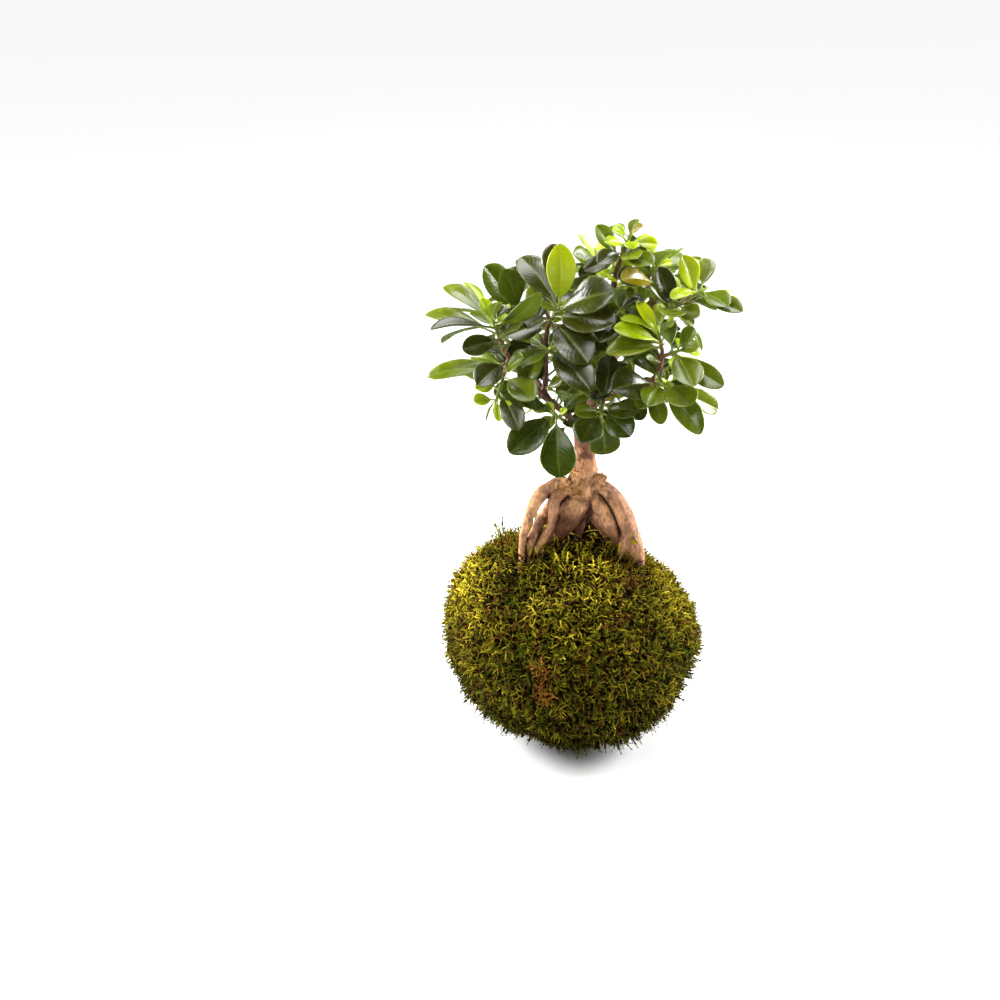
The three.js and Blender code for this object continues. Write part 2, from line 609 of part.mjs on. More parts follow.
// Grows the leaves of all sprays one after the other, then cuts each spray free of the wood.
function leafySprays(trunk, trunkWithGap) {
  const sprays = allSprays();
  for (const spray of sprays) {
    spray.parts = [shoot(spray)];
    spray.blades = [];
  }
  for (const spray of sprays) {
    const others = sprays.filter((other) => other !== spray).flatMap((other) => other.parts);
    const from = new THREE.Vector3(...spray.from);
    const to = new THREE.Vector3(...spray.to);
    for (const row of spray.leaves) {
      const fitted = fittedLeaf(leafFoot(from, to, row), row, spray, others, trunk);
      if (fitted) spray.parts.push(fitted);
    }
  }
  return sprays.map((spray) => [spray.name, largestBody(joined(spray.parts).subtract(trunkWithGap))]);
}

// ---- The plant ----

const group = new THREE.Group();
const trunk = wood();
const trunkWithGap = wood(FIT_GAP);
const outside = ball(0, MOSS_SIDES, MOSS_LEVELS, true);
const hollow = ball(MOSS_THICKNESS, SOIL_SIDES, SOIL_LEVELS, false);
const soil = ball(MOSS_THICKNESS + FIT_GAP, SOIL_SIDES, SOIL_LEVELS, false);

group.add(toMesh("soil_ball", largestBody(soil.subtract(trunkWithGap)), SOIL));
group.add(toMesh("moss_cover", largestBody(outside.subtract(hollow).subtract(trunkWithGap)), MOSS));
group.add(toMesh("trunk", trunk, BARK));
for (const [name, solid] of leafySprays(trunk, trunkWithGap)) group.add(toMesh(name, solid, LEAF));

export default group;
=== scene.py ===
# A kokedama: a small fig tree with exposed roots, growing in a ball of soil wrapped in living moss.
# The settings are in millimetres, and the side of the plant that is looked at faces -Y.
import math
import bpy
import numpy as np
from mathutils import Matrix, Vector


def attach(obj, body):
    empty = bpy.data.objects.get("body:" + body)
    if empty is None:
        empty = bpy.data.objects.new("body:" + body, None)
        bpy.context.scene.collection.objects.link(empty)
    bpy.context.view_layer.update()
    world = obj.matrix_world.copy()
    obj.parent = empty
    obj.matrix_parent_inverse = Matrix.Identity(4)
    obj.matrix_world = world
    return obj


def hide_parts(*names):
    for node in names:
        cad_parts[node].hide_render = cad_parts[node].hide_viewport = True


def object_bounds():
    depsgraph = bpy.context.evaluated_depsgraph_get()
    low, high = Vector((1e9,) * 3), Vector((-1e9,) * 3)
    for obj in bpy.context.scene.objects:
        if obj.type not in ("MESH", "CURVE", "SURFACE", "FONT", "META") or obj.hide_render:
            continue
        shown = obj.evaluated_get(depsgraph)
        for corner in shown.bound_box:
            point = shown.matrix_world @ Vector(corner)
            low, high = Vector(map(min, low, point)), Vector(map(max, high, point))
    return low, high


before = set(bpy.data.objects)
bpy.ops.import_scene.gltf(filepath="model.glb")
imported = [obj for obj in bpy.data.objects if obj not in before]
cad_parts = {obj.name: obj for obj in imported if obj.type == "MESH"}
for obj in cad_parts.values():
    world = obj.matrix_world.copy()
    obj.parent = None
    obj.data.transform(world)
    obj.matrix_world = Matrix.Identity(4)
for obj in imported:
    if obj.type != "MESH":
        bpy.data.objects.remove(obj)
cadBox = [[float(v) for v in corner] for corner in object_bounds()]
toMetres = 0.001
print("frame loaded:", len(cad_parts), "nodes")


# Small tools for arrays of points and colours

def unit(vectors):
    return vectors / np.maximum(np.linalg.norm(vectors, axis=-1, keepdims=True), 1e-12)


def dot(a, b):
    return np.sum(a * b, axis=-1, keepdims=True)


def blend(a, b, share):
    return a + (b - a) * share


# An S curve from 0 at low to 1 at high: t squared times 3 - 2t.
def ease(x, low, high):
    t = np.clip((x - low) / (high - low), 0, 1)
    return t * t * (3 - 2 * t)


# Screen bytes to the linear colour that shaders use.
def colour(red, green, blue):
    c = np.array([red, green, blue]) / 255
    return np.where(c <= 0.04045, c / 12.92, ((c + 0.055) / 1.055) ** 2.4)


# Value noise from -1 to 1: a scattered number for each corner of a lattice of the given size, blended
# between the eight corners round each point.
def noise(points, size, seed=0):
    place = points / size + 1000
    cell = np.floor(place).astype(np.int64)
    share = ease(place - cell, 0, 1)
    total = np.zeros(len(points))
    for corner in range(8):
        step = np.array([corner & 1, corner >> 1 & 1, corner >> 2])
        i, j, k = (cell + step).T
        mixed = (i * 73856093 ^ j * 19349663 ^ k * 83492791 ^ seed * 2654435761) & 0xFFFFFFFF
        mixed = ((mixed ^ mixed >> 15) * 2246822519) & 0xFFFFFFFF
        mixed = ((mixed ^ mixed >> 13) * 3266489917) & 0xFFFFFFFF
        value = ((mixed ^ mixed >> 16) & 0xFFFF) / 32767.5 - 1
        total += np.prod(np.where(step == 1, share, 1 - share), axis=1) * value
    return total


# A closed skin round rings of points. One point comes before the first ring and one after the last, with
# fans of triangles to them.
def closedTube(rings, first, last):
    count, sides = rings.shape[:2]
    j = np.arange(sides)
    after = (j + 1) % sides
    k = np.arange(count - 1)[:, None] * sides + 1
    quads = np.stack([k + j, k + after, k + sides + after, k + sides + j], axis=-1).reshape(-1, 4)
    end = 1 + (count - 1) * sides
    fans = np.concatenate([
        np.stack([np.zeros_like(j), 1 + after, 1 + j], axis=-1),
        np.stack([end + j, end + after, np.full_like(j, end + sides)], axis=-1),
    ])
    points = np.concatenate([[first], rings.reshape(-1, 3), [last]])
    return {"points": points, "quads": quads, "triangles": fans}


# Joins such shapes into one, with what is painted on them.
def gather(parts):
    starts = np.cumsum([0] + [len(part["points"]) for part in parts[:-1]])
    whole = {key: np.concatenate([part[key] for part in parts]) for key in parts[0]}
    for key in ("quads", "triangles"):
        whole[key] = np.concatenate([part[key] + start for part, start in zip(parts, starts)])
    return whole


def placePoints(mesh, points):
    mesh.vertices.foreach_set("co", (points * toMetres).astype(np.float32).ravel())


def paintPoints(mesh, tone):
    layer = mesh.color_attributes.new(name="tone", type="FLOAT_COLOR", domain="POINT")
    layer.data.foreach_set("color", np.column_stack([tone, np.ones(len(tone))]).astype(np.float32).ravel())


# One mesh object from arrays in millimetres. It rides on the plant's only body.
def makePiece(name, shape, materials, nodes, smooth=True):
    quads, triangles = shape["quads"], shape["triangles"]
    corners = np.concatenate([quads.ravel(), triangles.ravel()]).astype(np.int32)
    sizes = np.concatenate([np.full(len(quads), 4), np.full(len(triangles), 3)])
    starts = (np.cumsum(sizes) - sizes).astype(np.int32)
    mesh = bpy.data.meshes.new(name)
    mesh.vertices.add(len(shape["points"]))
    placePoints(mesh, shape["points"])
    mesh.loops.add(len(corners))
    mesh.loops.foreach_set("vertex_index", corners)
    mesh.polygons.add(len(sizes))
    mesh.polygons.foreach_set("loop_start", starts)
    mesh.update(calc_edges=True)
    mesh.polygons.foreach_set("use_smooth", np.full(len(sizes), smooth))
    if "tone" in shape:
        paintPoints(mesh, shape["tone"])
    if "map" in shape:
        layer = mesh.uv_layers.new(name="leafMap")
        layer.uv.foreach_set("vector", shape["map"][corners].astype(np.float32).ravel())
    for material in materials:
        mesh.materials.append(material)
    if "kind" in shape:
        mesh.polygons.foreach_set("material_index", shape["kind"][corners[starts]].astype(np.int32))
    mesh.validate()
    piece = bpy.data.objects.new(name, mesh)
    bpy.context.scene.collection.objects.link(piece)
    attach(piece, "root")
    if nodes:
        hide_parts(*nodes)
    return piece


# Materials

# A material with one Principled shader. add() puts in a node and gives one of its outputs, and shade() sets
# the shader's own inputs. Both take values, which are set, and other nodes' outputs, which are wired.
def newMaterial(name, **shine):
    material = bpy.data.materials.new(name)
    material.use_nodes = True
    tree = material.node_tree

    def wire(node, inputs):
        for key, value in inputs.items():
            if isinstance(value, bpy.types.NodeSocket):
                tree.links.new(value, node.inputs[key])
            else:
                node.inputs[key].default_value = value

    def add(kind, inputs, output=0, **options):
        node = tree.nodes.new("ShaderNode" + kind)
        for key, value in options.items():
            setattr(node, key, value)
        wire(node, inputs)
        return node.outputs[output]

    def shade(**inputs):
        wire(tree.nodes["Principled BSDF"], {key.replace("_", " "): value for key, value in inputs.items()})

    shade(**shine)
    return material, add, shade


def reckon(add, operation, a, b=0):
    return add("Math", {0: a, 1: b}, operation=operation)


# Noise over the piece's own coordinates, or over those given.
def grain(add, scale, detail, roughness=0.5, place=None):
    place = place or add("TexCoord", {}, "Object")
    return add("TexNoise", {"Vector": place, "Scale": scale, "Detail": detail, "Roughness": roughness})


# Distance from the middle of the nearest crumb.
def crumbs(add, scale):
    return add("TexVoronoi", {"Vector": add("TexCoord", {}, "Object"), "Scale": scale})


# A value spread from one range, by default the middle of a noise's, to another.
def spread(add, value, toLow, toHigh, low=0.3, high=0.7):
    ends = {"From Min": low, "From Max": high, "To Min": toLow, "To Max": toHigh}
    return add("MapRange", {"Value": value} | ends)


def ramp(add, value, *stops):
    out = add("ValToRGB", {"Fac": value})
    for element, (place, tone) in zip(out.node.color_ramp.elements, stops):
        element.position = place
        element.color = (*tone, 1)
    return out


# The tone painted on the piece's points, times a value.
def painted(add, light):
    tone = add("Attribute", {}, "Color", attribute_name="tone")
    return add("VectorMath", {0: tone, "Scale": light}, operation="SCALE")


def bump(add, height, strength, distance):
    return add("Bump", {"Height": height, "Strength": strength, "Distance": distance})


# A speckled material: the painted tone times noise. The same noise may raise its skin.
def speckled(name, scale, detail, light, height=0, **shine):
    material, add, shade = newMaterial(name, **shine)
    fine = grain(add, scale, detail)
    shade(Base_Color=painted(add, spread(add, fine, *light)))
    if height:
        shade(Normal=bump(add, fine, 0.4, height))
    return material


# The dark old growth under the moss shoots.
def matMaterial():
    material, add, shade = newMaterial("mossMat", Roughness=0.95, Specular_IOR_Level=0.15)
    matted = grain(add, 260, 5, 0.7)
    tone = ramp(add, matted, (0.35, colour(14, 8, 1)), (0.7, colour(48, 31, 5)))
    shade(Base_Color=tone, Normal=bump(add, matted, 0.8, 0.002))
    return material


def soilMaterial():
    material, add, shade = newMaterial("claySoil", Roughness=1.0, Specular_IOR_Level=0.2)
    tone = ramp(add, grain(add, 120, 6), (0, colour(38, 26, 18)), (1, colour(96, 68, 46)))
    shade(Base_Color=tone, Normal=bump(add, crumbs(add, 380), 0.7, 0.0015))
    return material


# Bark: mottled, with fine pores, and wrinkled along its height.
def barkMaterial():
    material, add, shade = newMaterial("figBark", Roughness=0.62, Specular_IOR_Level=0.35)
    mottle = grain(add, 150, 6, 0.65)
    pores = spread(add, crumbs(add, 430), 0.62, 1, 0.05, 0.3)
    long = add("Mapping", {"Vector": add("TexCoord", {}, "Object"), "Scale": (1, 1, 0.45)})
    wrinkle = grain(add, 640, 4, 0.7, long)
    light = reckon(add, "MULTIPLY", spread(add, mottle, 0.74, 1.26), pores)
    light = reckon(add, "MULTIPLY", light, spread(add, wrinkle, 0.62, 1.3, 0.36, 0.62))
    height = reckon(add, "ADD", mottle, reckon(add, "MULTIPLY", pores, 0.5))
    height = reckon(add, "ADD", height, wrinkle)
    shade(Base_Color=painted(add, light), Normal=bump(add, height, 0.75, 0.0012))
    return material


# Leaf: the map runs along the rib (v) and from edge to edge (u), and the side veins are stripes that bend
# forward from the rib.
def leafMaterial():
    material, add, shade = newMaterial("figLeaf", Specular_IOR_Level=0.5)
    u, v, _ = add("SeparateXYZ", {0: add("UVMap", {}, uv_map="leafMap")}).node.outputs
    aside = reckon(add, "ABSOLUTE", reckon(add, "SUBTRACT", u, 0.5))
    lean = reckon(add, "SUBTRACT", v, reckon(add, "MULTIPLY", aside, 0.5))
    wave = reckon(add, "SINE", reckon(add, "MULTIPLY", lean, 75))
    stripes = reckon(add, "POWER", reckon(add, "MAXIMUM", wave), 6)
    rib = spread(add, aside, 1, 0, 0.006, 0.035)
    veins = reckon(add, "MAXIMUM", rib, reckon(add, "MULTIPLY", stripes, 0.25))
    blotch = grain(add, 130, 3)
    light = reckon(add, "ADD", spread(add, blotch, 0.9, 1.12), reckon(add, "MULTIPLY", veins, 0.22))
    height = reckon(add, "SUBTRACT", reckon(add, "MULTIPLY", blotch, 0.4), veins)
    shade(Base_Color=painted(add, light), Roughness=spread(add, blotch, 0.16, 0.34),
          Normal=bump(add, height, 0.3, 0.0006))
    return material


mossFinish = speckled("mossFrond", 700, 2, (0.8, 1.2), Roughness=0.7, Specular_IOR_Level=0.05)
matFinish = matMaterial()
barkFinish = barkMaterial()
leafFinish = leafMaterial()
twigFinish = speckled("greenTwig", 500, 4, (0.75, 1.2), 0.0005, Roughness=0.55, Specular_IOR_Level=0.4)
print("materials made")

# Camera, at the photograph's viewing angle

camera = bpy.data.objects.new("camera", bpy.data.cameras.new("camera"))
camera.location = (-0.0497, -1.0682, 0.6078)
camera.rotation_euler = (math.radians(68), 0, 0)
camera.data.lens = 61.2
camera.data.sensor_width = 36
bpy.context.scene.collection.objects.link(camera)
bpy.context.scene.camera = camera

# The wood: the middle line of each limb as [x, y, z, radius]

trunk = [
    [4, 0, 169, 9], [4.5, -1, 177, 12], [5.5, -1, 185, 12.3], [6.6, 0, 192, 10.4], [7, 0, 199, 8.4],
    [6.9, 0, 207, 7.3], [6.9, 0, 215, 7.2], [7, 0.5, 222, 8], [7.5, 1, 228, 7.2], [8, 3, 234, 4.8],
]

roots = [
    # left, outermost
    [[-6, -3, 190, 8], [-14, -6, 188, 5.2], [-20.5, -9, 185.5, 4.8], [-25.5, -12, 180.5, 4.4],
      [-29.5, -15, 173, 4], [-32.5, -18, 164.5, 3.4], [-34.5, -20, 155.5, 2.7], [-35, -21, 148.5, 2.4],
      [-34.5, -21, 142.5, 2.6]],
    # left, in front
    [[-8.5, -6, 186, 6], [-13, -12, 181.5, 4.2], [-14, -15.5, 175, 3.7], [-15, -17.5, 166.5, 3.4],
      [-19.5, -19, 158, 2.8], [-24, -20, 150, 2.3], [-25, -20, 143.5, 2.5]],
    # left, behind that one
    [[-10.5, 0, 177.5, 6], [-15.5, -5, 174.5, 4], [-20.5, -9.5, 168.5, 3.7], [-25, -13.5, 160, 4],
      [-28.5, -17, 152, 4.2], [-29.5, -18, 144, 4]],
    # swollen one under the root crown
    [[5.5, -4, 179, 10], [0, -8, 173.5, 9.3], [-5, -9.5, 166, 8.4], [-11, -8.5, 157, 6.6],
      [-15, -7, 149, 5.2], [-17, -6, 142, 4.5]],
    # middle
    [[8.5, -2, 171, 5], [6.5, -4, 164.5, 3], [4.5, -5, 157, 2.6], [3.5, -5, 150, 2.6]],
    # right, inner
    [[11.5, -4, 183, 7], [16, -9, 177.5, 5.6], [21, -10.5, 170.5, 5.3], [25.5, -9.5, 162, 5],
      [29.5, -7.5, 153, 5.3], [32, -6, 142.5, 5]],
    # right, inner, behind that one
    [[10, 0, 172.5, 7], [14.5, 1, 164.5, 4.6], [20, 2, 155.5, 3.9], [25, 2, 146.5, 3.6],
      [26.5, 2, 140.5, 3.5]],
    # right, outermost, with a toe
    [[11, -2, 190, 8.5], [17.5, -4, 187.5, 6.6], [23.5, -7, 184.5, 6], [29, -10, 179, 5.9],
      [33.5, -12, 171, 5.9], [37, -14, 162, 6.1], [40, -15, 152.5, 6.4], [42, -15, 143.5, 6.5],
      [42.5, -14, 136, 6]],
    [[37, -16, 158.5, 4.6], [34, -18, 152, 3.6], [32, -18, 145.5, 3.3], [31, -17, 139.5, 3]],
    # far side
    [[12, 5, 176, 8], [20, 15, 163, 5.5], [27, 21, 151, 4.8], [31, 25, 142, 4.2]],
    [[2, 5, 181, 8], [-4, 17, 173, 6], [-11, 26, 163, 5], [-15, 32, 150, 4.4], [-17, 36, 141, 3.8]],
    [[11, 5, 183, 8], [20, 17, 176, 6], [29, 27, 165, 5], [35, 34, 152, 4.6], [38, 38, 141, 4]],
]

branches = [
    # low on the left, rising to the left end of the crown, with three side branches
    [[5, 0, 222, 5], [0, -5, 232, 3], [-5, -9, 240, 2.6], [-17, -15, 252, 2.4], [-27, -20, 262, 2.2],
      [-37, -24, 275, 2], [-45, -26, 287, 1.8], [-47, -26, 290, 1.6]],
    [[-22, -17, 256, 2.2], [-20, -12, 265, 2], [-20, -9, 277, 1.9], [-20, -7, 288, 1.8],
      [-19, -6, 300, 1.6]],
    [[-20, -8, 284, 1.8], [-24, 2, 290, 1.7], [-30, 12, 296, 1.6]],
    [[-17, -15, 252, 2.2], [-28, 2, 264, 2], [-40, 20, 276, 1.8], [-50, 30, 286, 1.6]],
    # leader
    [[8, 2, 228, 5.6], [12, 8, 245, 4.2], [17, 12, 263, 3.6], [22, 10, 282, 3.2], [24, 8, 303, 2.8],
      [24, 6, 324, 2.3], [28, 4, 342, 1.7]],
    [[24, 8, 303, 2.4], [22, 14, 310, 2], [19, 20, 317, 1.6]],
    # right, rising to the right end of the crown
    [[10, 6, 240, 3.4], [17, -3, 250, 2.8], [24, -10, 256, 2.5], [33, -17, 260, 2.3], [43, -22, 265, 2.2],
      [50, -26, 272, 2], [53, -27, 281, 1.8], [54, -26, 289, 1.6]],
    [[18, -4, 251, 2.2], [18, -9, 252, 1.9], [18, -14, 251, 1.6]],
    # high on the right
    [[24, 8, 299, 2.8], [32, 4, 305, 2.3], [42, -1, 310, 2.1], [50, -5, 312, 2], [58, -8, 312, 1.8],
      [66, -10, 316, 1.6]],
    [[48, -4, 311, 2], [50, -3, 318, 1.7], [49, -2, 324, 1.6]],
    # short twig under the left branch
    [[5, -2, 224, 3], [2, -9, 230, 1.9], [-2, -14, 234, 1.5]],
    # far side, left to right
    [[11, 7, 240, 3.6], [4, 28, 256, 2.8], [-8, 44, 274, 2.2], [-18, 54, 292, 1.6]],
    [[10, 5, 236, 3], [14, 26, 244, 2.2], [15, 42, 248, 1.6]],
    [[17, 12, 262, 3], [32, 32, 272, 2.4], [48, 44, 286, 2], [58, 50, 300, 1.6]],
    [[22, 10, 282, 2.6], [18, 30, 296, 2.1], [14, 42, 310, 1.6]],
    [[24, 8, 302, 2.6], [38, 24, 308, 2.1], [52, 34, 318, 1.6]],
]
stub = [[15, -5, 195, 2.8], [18.5, -8, 196, 2.2], [21.5, -10, 196.5, 2]]


# A smooth curve through a path's points by Catmull and Rom's cubic, each stretch cut into the same number
# of steps. The radius is carried along with the place.
def smoothPath(path, steps):
    knots = np.array(path, float)
    knots = np.concatenate([[2 * knots[0] - knots[1]], knots, [2 * knots[-1] - knots[-2]]])
    t = np.linspace(0, 1, steps, endpoint=False)[None, :, None]
    a, b, c, d = (knots[i:len(knots) - 3 + i][:, None, :] for i in range(4))
    curve = 2 * b + (c - a) * t + (2 * a - 5 * b + 4 * c - d) * t ** 2 + (3 * b - a - 3 * c + d) * t ** 3
    return np.concatenate([(0.5 * curve).reshape(-1, 4), knots[-2:-1]])


# A round tube along such a curve: each ring stands square to the curve, at the curve's own radius times
# one plus a few low waves round it.
def limbTube(path, sides=18, steps=7, waves=0.07, seed=0):
    line = smoothPath(path, steps)
    middle, radius = line[:, :3], line[:, 3]
    along = unit(np.gradient(middle, axis=0))
    mostly = unit(middle[-1] - middle[0])
    across = np.array([0.0, 1.0, 0.0]) if abs(mostly[1]) < 0.8 else np.array([1.0, 0.0, 0.0])
    up = unit(across - dot(along, across) * along)
    side = np.cross(along, up)
    turn = np.linspace(0, 2 * np.pi, sides, endpoint=False)
    walk = np.arange(len(line))[:, None] * 0.16
    swell = 1 + waves * (np.sin(2 * turn + seed + walk) + 0.6 * np.sin(5 * turn - 2 * seed + 0.5 * walk))
    out = np.cos(turn)[None, :, None] * up[:, None] + np.sin(turn)[None, :, None] * side[:, None]
    rings = middle[:, None] + out * (radius[:, None] * swell)[..., None]
    first, last = middle[0] - along[0] * radius[0] * 0.3, middle[-1] + along[-1] * radius[-1] * 0.4
    return closedTube(rings, first, last)


# Roots run on below the face of the moss to 26 under their last point, thinner and a little outwards.
def rootedPath(path):
    x, y, z, radius = path[-1]
    return path + [[x * 1.04, y * 1.04, z - 13, radius * 0.85], [x, y, z - 26, radius * 0.5]]


thickLimbs = [trunk] + [rootedPath(root) for root in roots]
toe = thickLimbs[9]  # it meets its root without a groove

woodSettings = {
    "voxel": 0.73,
    "fillets": 3,  # smoothing rounds
    "crown": [(132, 145), (200, 226)],  # heights over which the root crown sets in and ends
    "ripple": 0.5,  # height of the uneven skin
    "grooveWidth": 1.8,
    "grooveDepth": 1.1,
    "grooveEnds": (178, 190),  # heights over which grooves get shallow
    "neckStarts": (193, 205),
    "neckTopStarts": (206, 215),
    "twigStarts": (236, 256),
    "rootTan": colour(214, 158, 113),
    "rootPink": colour(172, 123, 90),
    # dark brown for stains, and for the painted shade in creases and hollows
    "stainAndCreaseShade": colour(60, 31, 15),
    "neck": colour(168, 113, 70),
    "shadow": colour(92, 48, 26),
    "neckTop": colour(86, 40, 24),
    "twig": colour(120, 84, 66),
}


# How far each point lies from the skin of the nearest limb, and the direction away from that limb. It
# measures to points along the middle lines, a number of steps to each stretch.
def fromLimbs(points, limbs, steps):
    line = np.concatenate([smoothPath(path, steps) for path in limbs])
    gaps, away = np.zeros(len(points)), np.zeros((len(points), 3))
    for block in np.array_split(np.arange(len(points)), max(1, len(points) // 4000)):
        reach = points[block, None] - line[None, :, :3]
        gap = np.linalg.norm(reach, axis=2) - line[None, :, 3]
        gaps[block] = gap.min(axis=1)
        away[block] = unit(reach[np.arange(len(block)), gap.argmin(axis=1)])
    return gaps, away


# Where two limbs meet: 1 on the line that is equally far from the skins of both, fading to 0 over the
# given width.
def meetingLine(points, limbs, width):
    gaps = np.array([fromLimbs(points, [path], 6)[0] for path in limbs])
    first, second = np.partition(gaps, 1, axis=0)[:2]
    return 1 - ease(second - first, 0.1, width)


# Mean of each point's neighbours, from the edges of the mesh.
def neighbourMean(values, edges, count):
    a, b = edges.T
    total = [np.bincount(a, column[b], count) + np.bincount(b, column[a], count) for column in values.T]
    degree = np.bincount(edges.ravel(), minlength=count)
    return np.stack(total, axis=1) / np.maximum(degree, 1)[:, None]


# The points of a mesh in millimetres, its edges and its normals.
def meshArrays(mesh):
    def read(items, name, width, kind):
        values = np.zeros(len(items) * width, kind)
        items.foreach_get(name, values)
        return values.reshape(-1, width)

    points = read(mesh.vertices, "co", 3, np.float32) / toMetres
    return points, read(mesh.edges, "vertices", 2, np.int32), read(mesh.vertices, "normal", 3, np.float32)


# All limbs in one mesh, joined by a voxel remesh.
def joinedLimbs():
    parts = [limbTube(path, seed=1.7 * k) for k, path in enumerate(thickLimbs)]
    parts += [limbTube(path, 12, 5, 0.03, 2.3 * k) for k, path in enumerate(branches + [stub])]
    wood = makePiece("tree_wood", gather(parts), [barkFinish], ["trunk"])
    remesh = wood.modifiers.new("join", "REMESH")
    remesh.mode = "VOXEL"
    remesh.voxel_size = woodSettings["voxel"] * toMetres
    remesh.use_smooth_shade = True
    bpy.context.view_layer.objects.active = wood
    bpy.ops.object.modifier_apply(modifier="join")
    return wood.data


# The tone of each point of the wood: layers over the tan of the roots, each with its own share. Most are
# the wood's own colours; two are painted shadow, and the creases and hollows get painted shade.
def woodTone(points, stainAndCreaseShade):
    x, z = points[:, 0], points[:, 2]
    fromDark = np.linalg.norm((points - [-23, -14, 163]) * [1, 1, 0.6], axis=1) + noise(points, 4, 9)
    uneven = 0.8 + 0.25 * noise(points, 1.8, 10)
    layers = [
        ("rootPink", ease(noise(points, 13, 3) + 0.4 * (x > 22), -0.2, 0.6)),
        ("neck", 0.8 * ease(z + 4 * noise(points, 6, 7), *woodSettings["neckStarts"])),
        ("neckTop", ease(z + 8 * noise(points, 3, 4), *woodSettings["neckTopStarts"]) * uneven),
        # painted shadow on the upper half of the root behind the two on the left, and in the hollow under
        # the root crown
        ("shadow", 0.75 * (1 - ease(fromDark, 3.5, 6))),
        ("shadow", 0.85 * (ease(179 - z, 0, 10) * (1 - ease(np.abs(x + 1), 10, 17)))),
        ("twig", ease(z + 0.5 * np.abs(x), *woodSettings["twigStarts"])),
        # stains, then painted shade in the creases, hollows and grooves
        ("stainAndCreaseShade", 0.5 * ease(noise(points, 6, 5) + 0.6 * noise(points, 2.5, 6), 0.2, 0.9)),
        ("stainAndCreaseShade", 0.92 * stainAndCreaseShade),
    ]
    tone = woodSettings["rootTan"]
    for name, share in layers:
        tone = blend(tone, woodSettings[name], share[:, None])
    return tone


# After the remesh each point moves part of the way to its neighbours' mean, round after round, most where
# roots meet, which leaves fillets there. Then the skin gets its ripples and grooves.
def makeWood():
    mesh = joinedLimbs()
    points, edges, _ = meshArrays(mesh)
    count = len(points)
    starts, ends = woodSettings["crown"]
    crown = (ease(points[:, 2], *starts) * (1 - ease(points[:, 2], *ends)))[:, None]
    for _ in range(woodSettings["fillets"]):
        points = points + (neighbourMean(points, edges, count) - points) * (0.5 * np.maximum(crown, 0.9))
    placePoints(mesh, points)
    mesh.update()
    _, _, normals = meshArrays(mesh)
    ripple = 0.6 * noise(points * [1, 1, 0.45], 5, 1) + 0.4 * noise(points, 2.2, 2)
    ripple *= woodSettings["ripple"] * blend(0.35, 1, crown[:, 0])
    points = points + normals * ripple[:, None]
    # Grooves along the lines where roots meet, shallow in the upper part of the root crown.
    below = points[:, 2] < ends[0]
    groove = np.zeros(count)
    limbs = [path for path in thickLimbs if path is not toe]
    groove[below] = meetingLine(points[below], limbs, woodSettings["grooveWidth"])
    groove *= 1 - 0.85 * ease(points[:, 2] + 3 * noise(points, 6, 8), *woodSettings["grooveEnds"])
    points = points - normals * (woodSettings["grooveDepth"] * groove)[:, None]
    # Hollow or proud: how far the neighbours' mean lies out along the normal, spread over a few rounds.
    # Hollows get painted shade.
    near = points
    for _ in range(8):
        near = near + (neighbourMean(near, edges, count) - near) * 0.6
    hollow = np.sum((near - points) * normals, axis=1, keepdims=True)
    for _ in range(3):
        hollow = neighbourMean(hollow, edges, count)
    placePoints(mesh, points)
    # The tone, with painted shade in the hollows and along the grooves.
    paintPoints(mesh, woodTone(points, np.maximum(ease(hollow[:, 0], 0.02, 0.3), 0.9 * groove)))
    mesh.update()
    print("wood:", len(mesh.polygons), "faces")
    return points, normals


woodPoints, woodNormals = makeWood()

# The moss ball

ball = {
    "radius": 89, "middle": 78, "rise": 67, "drop": 81, "shoulder": 2.25, "lean": 4, "lumps": 0.9,
    "moundHeight": 6, "moundRadius": 36,
    # moss heaped up under the root crown and at the feet of the front roots: [x, y, radius, height]
    "heaps": [[12.8, 11, 13.5, 20], [36, -27, 9, 4], [-28, -28, 10, 4]],
}
lowestLevel = -math.asin(ball["middle"] / ball["drop"])


# The face of the moss at a compass angle and a level, both in radians. Above the middle it is a rounded
# dome, whose sine and cosine are taken to the power 2/shoulder, and below it an ellipse that ends in a
# flat spot. A lean to one side, broad lumps and a mound between the roots are added.
def ballFace(angle, level):
    lean = np.where(level > 0, np.sin(2 * level), -0.4 * np.sin(level) ** 2)
    lumps = np.sin(2 * angle + 3.4) + np.sin(3 * angle + 4 * level + 1)
    fade = np.clip(6 * (level - lowestLevel) / (math.pi / 2 - lowestLevel), 0, 1)
    relief = fade * (ball["lumps"] * lumps - ball["lean"] * np.cos(angle) * lean)
    power = np.where(level > 0, 2 / ball["shoulder"], 1)
    radius = (ball["radius"] + relief) * np.cos(level) ** power
    mound = ball["moundHeight"] * np.exp(-((radius / ball["moundRadius"]) ** 2))
    dome = (ball["rise"] + relief) * np.sin(np.maximum(level, 0)) ** power + mound * (level > 0)
    bowl = (ball["drop"] + relief) * np.sin(np.minimum(level, 0))
    x, y = radius * np.cos(angle), radius * np.sin(angle)
    heap = sum(h * np.exp(-((x - a) ** 2 + (y - b) ** 2) / wide ** 2) for a, b, wide, h in ball["heaps"])
    return np.stack([x, y, ball["middle"] + dome + bowl + heap * (level > 0)], axis=-1)


# Its outward normal, from the cross product of two short steps over the face.
def ballNormal(angle, level):
    step = 0.01
    east = ballFace(angle + step, level) - ballFace(angle - step, level)
    north = ballFace(angle, level + step) - ballFace(angle, level - step)
    return unit(np.cross(east, north))


matSettings = {"depth": 7, "sides": 180, "levels": 90, "roughness": 1.0}


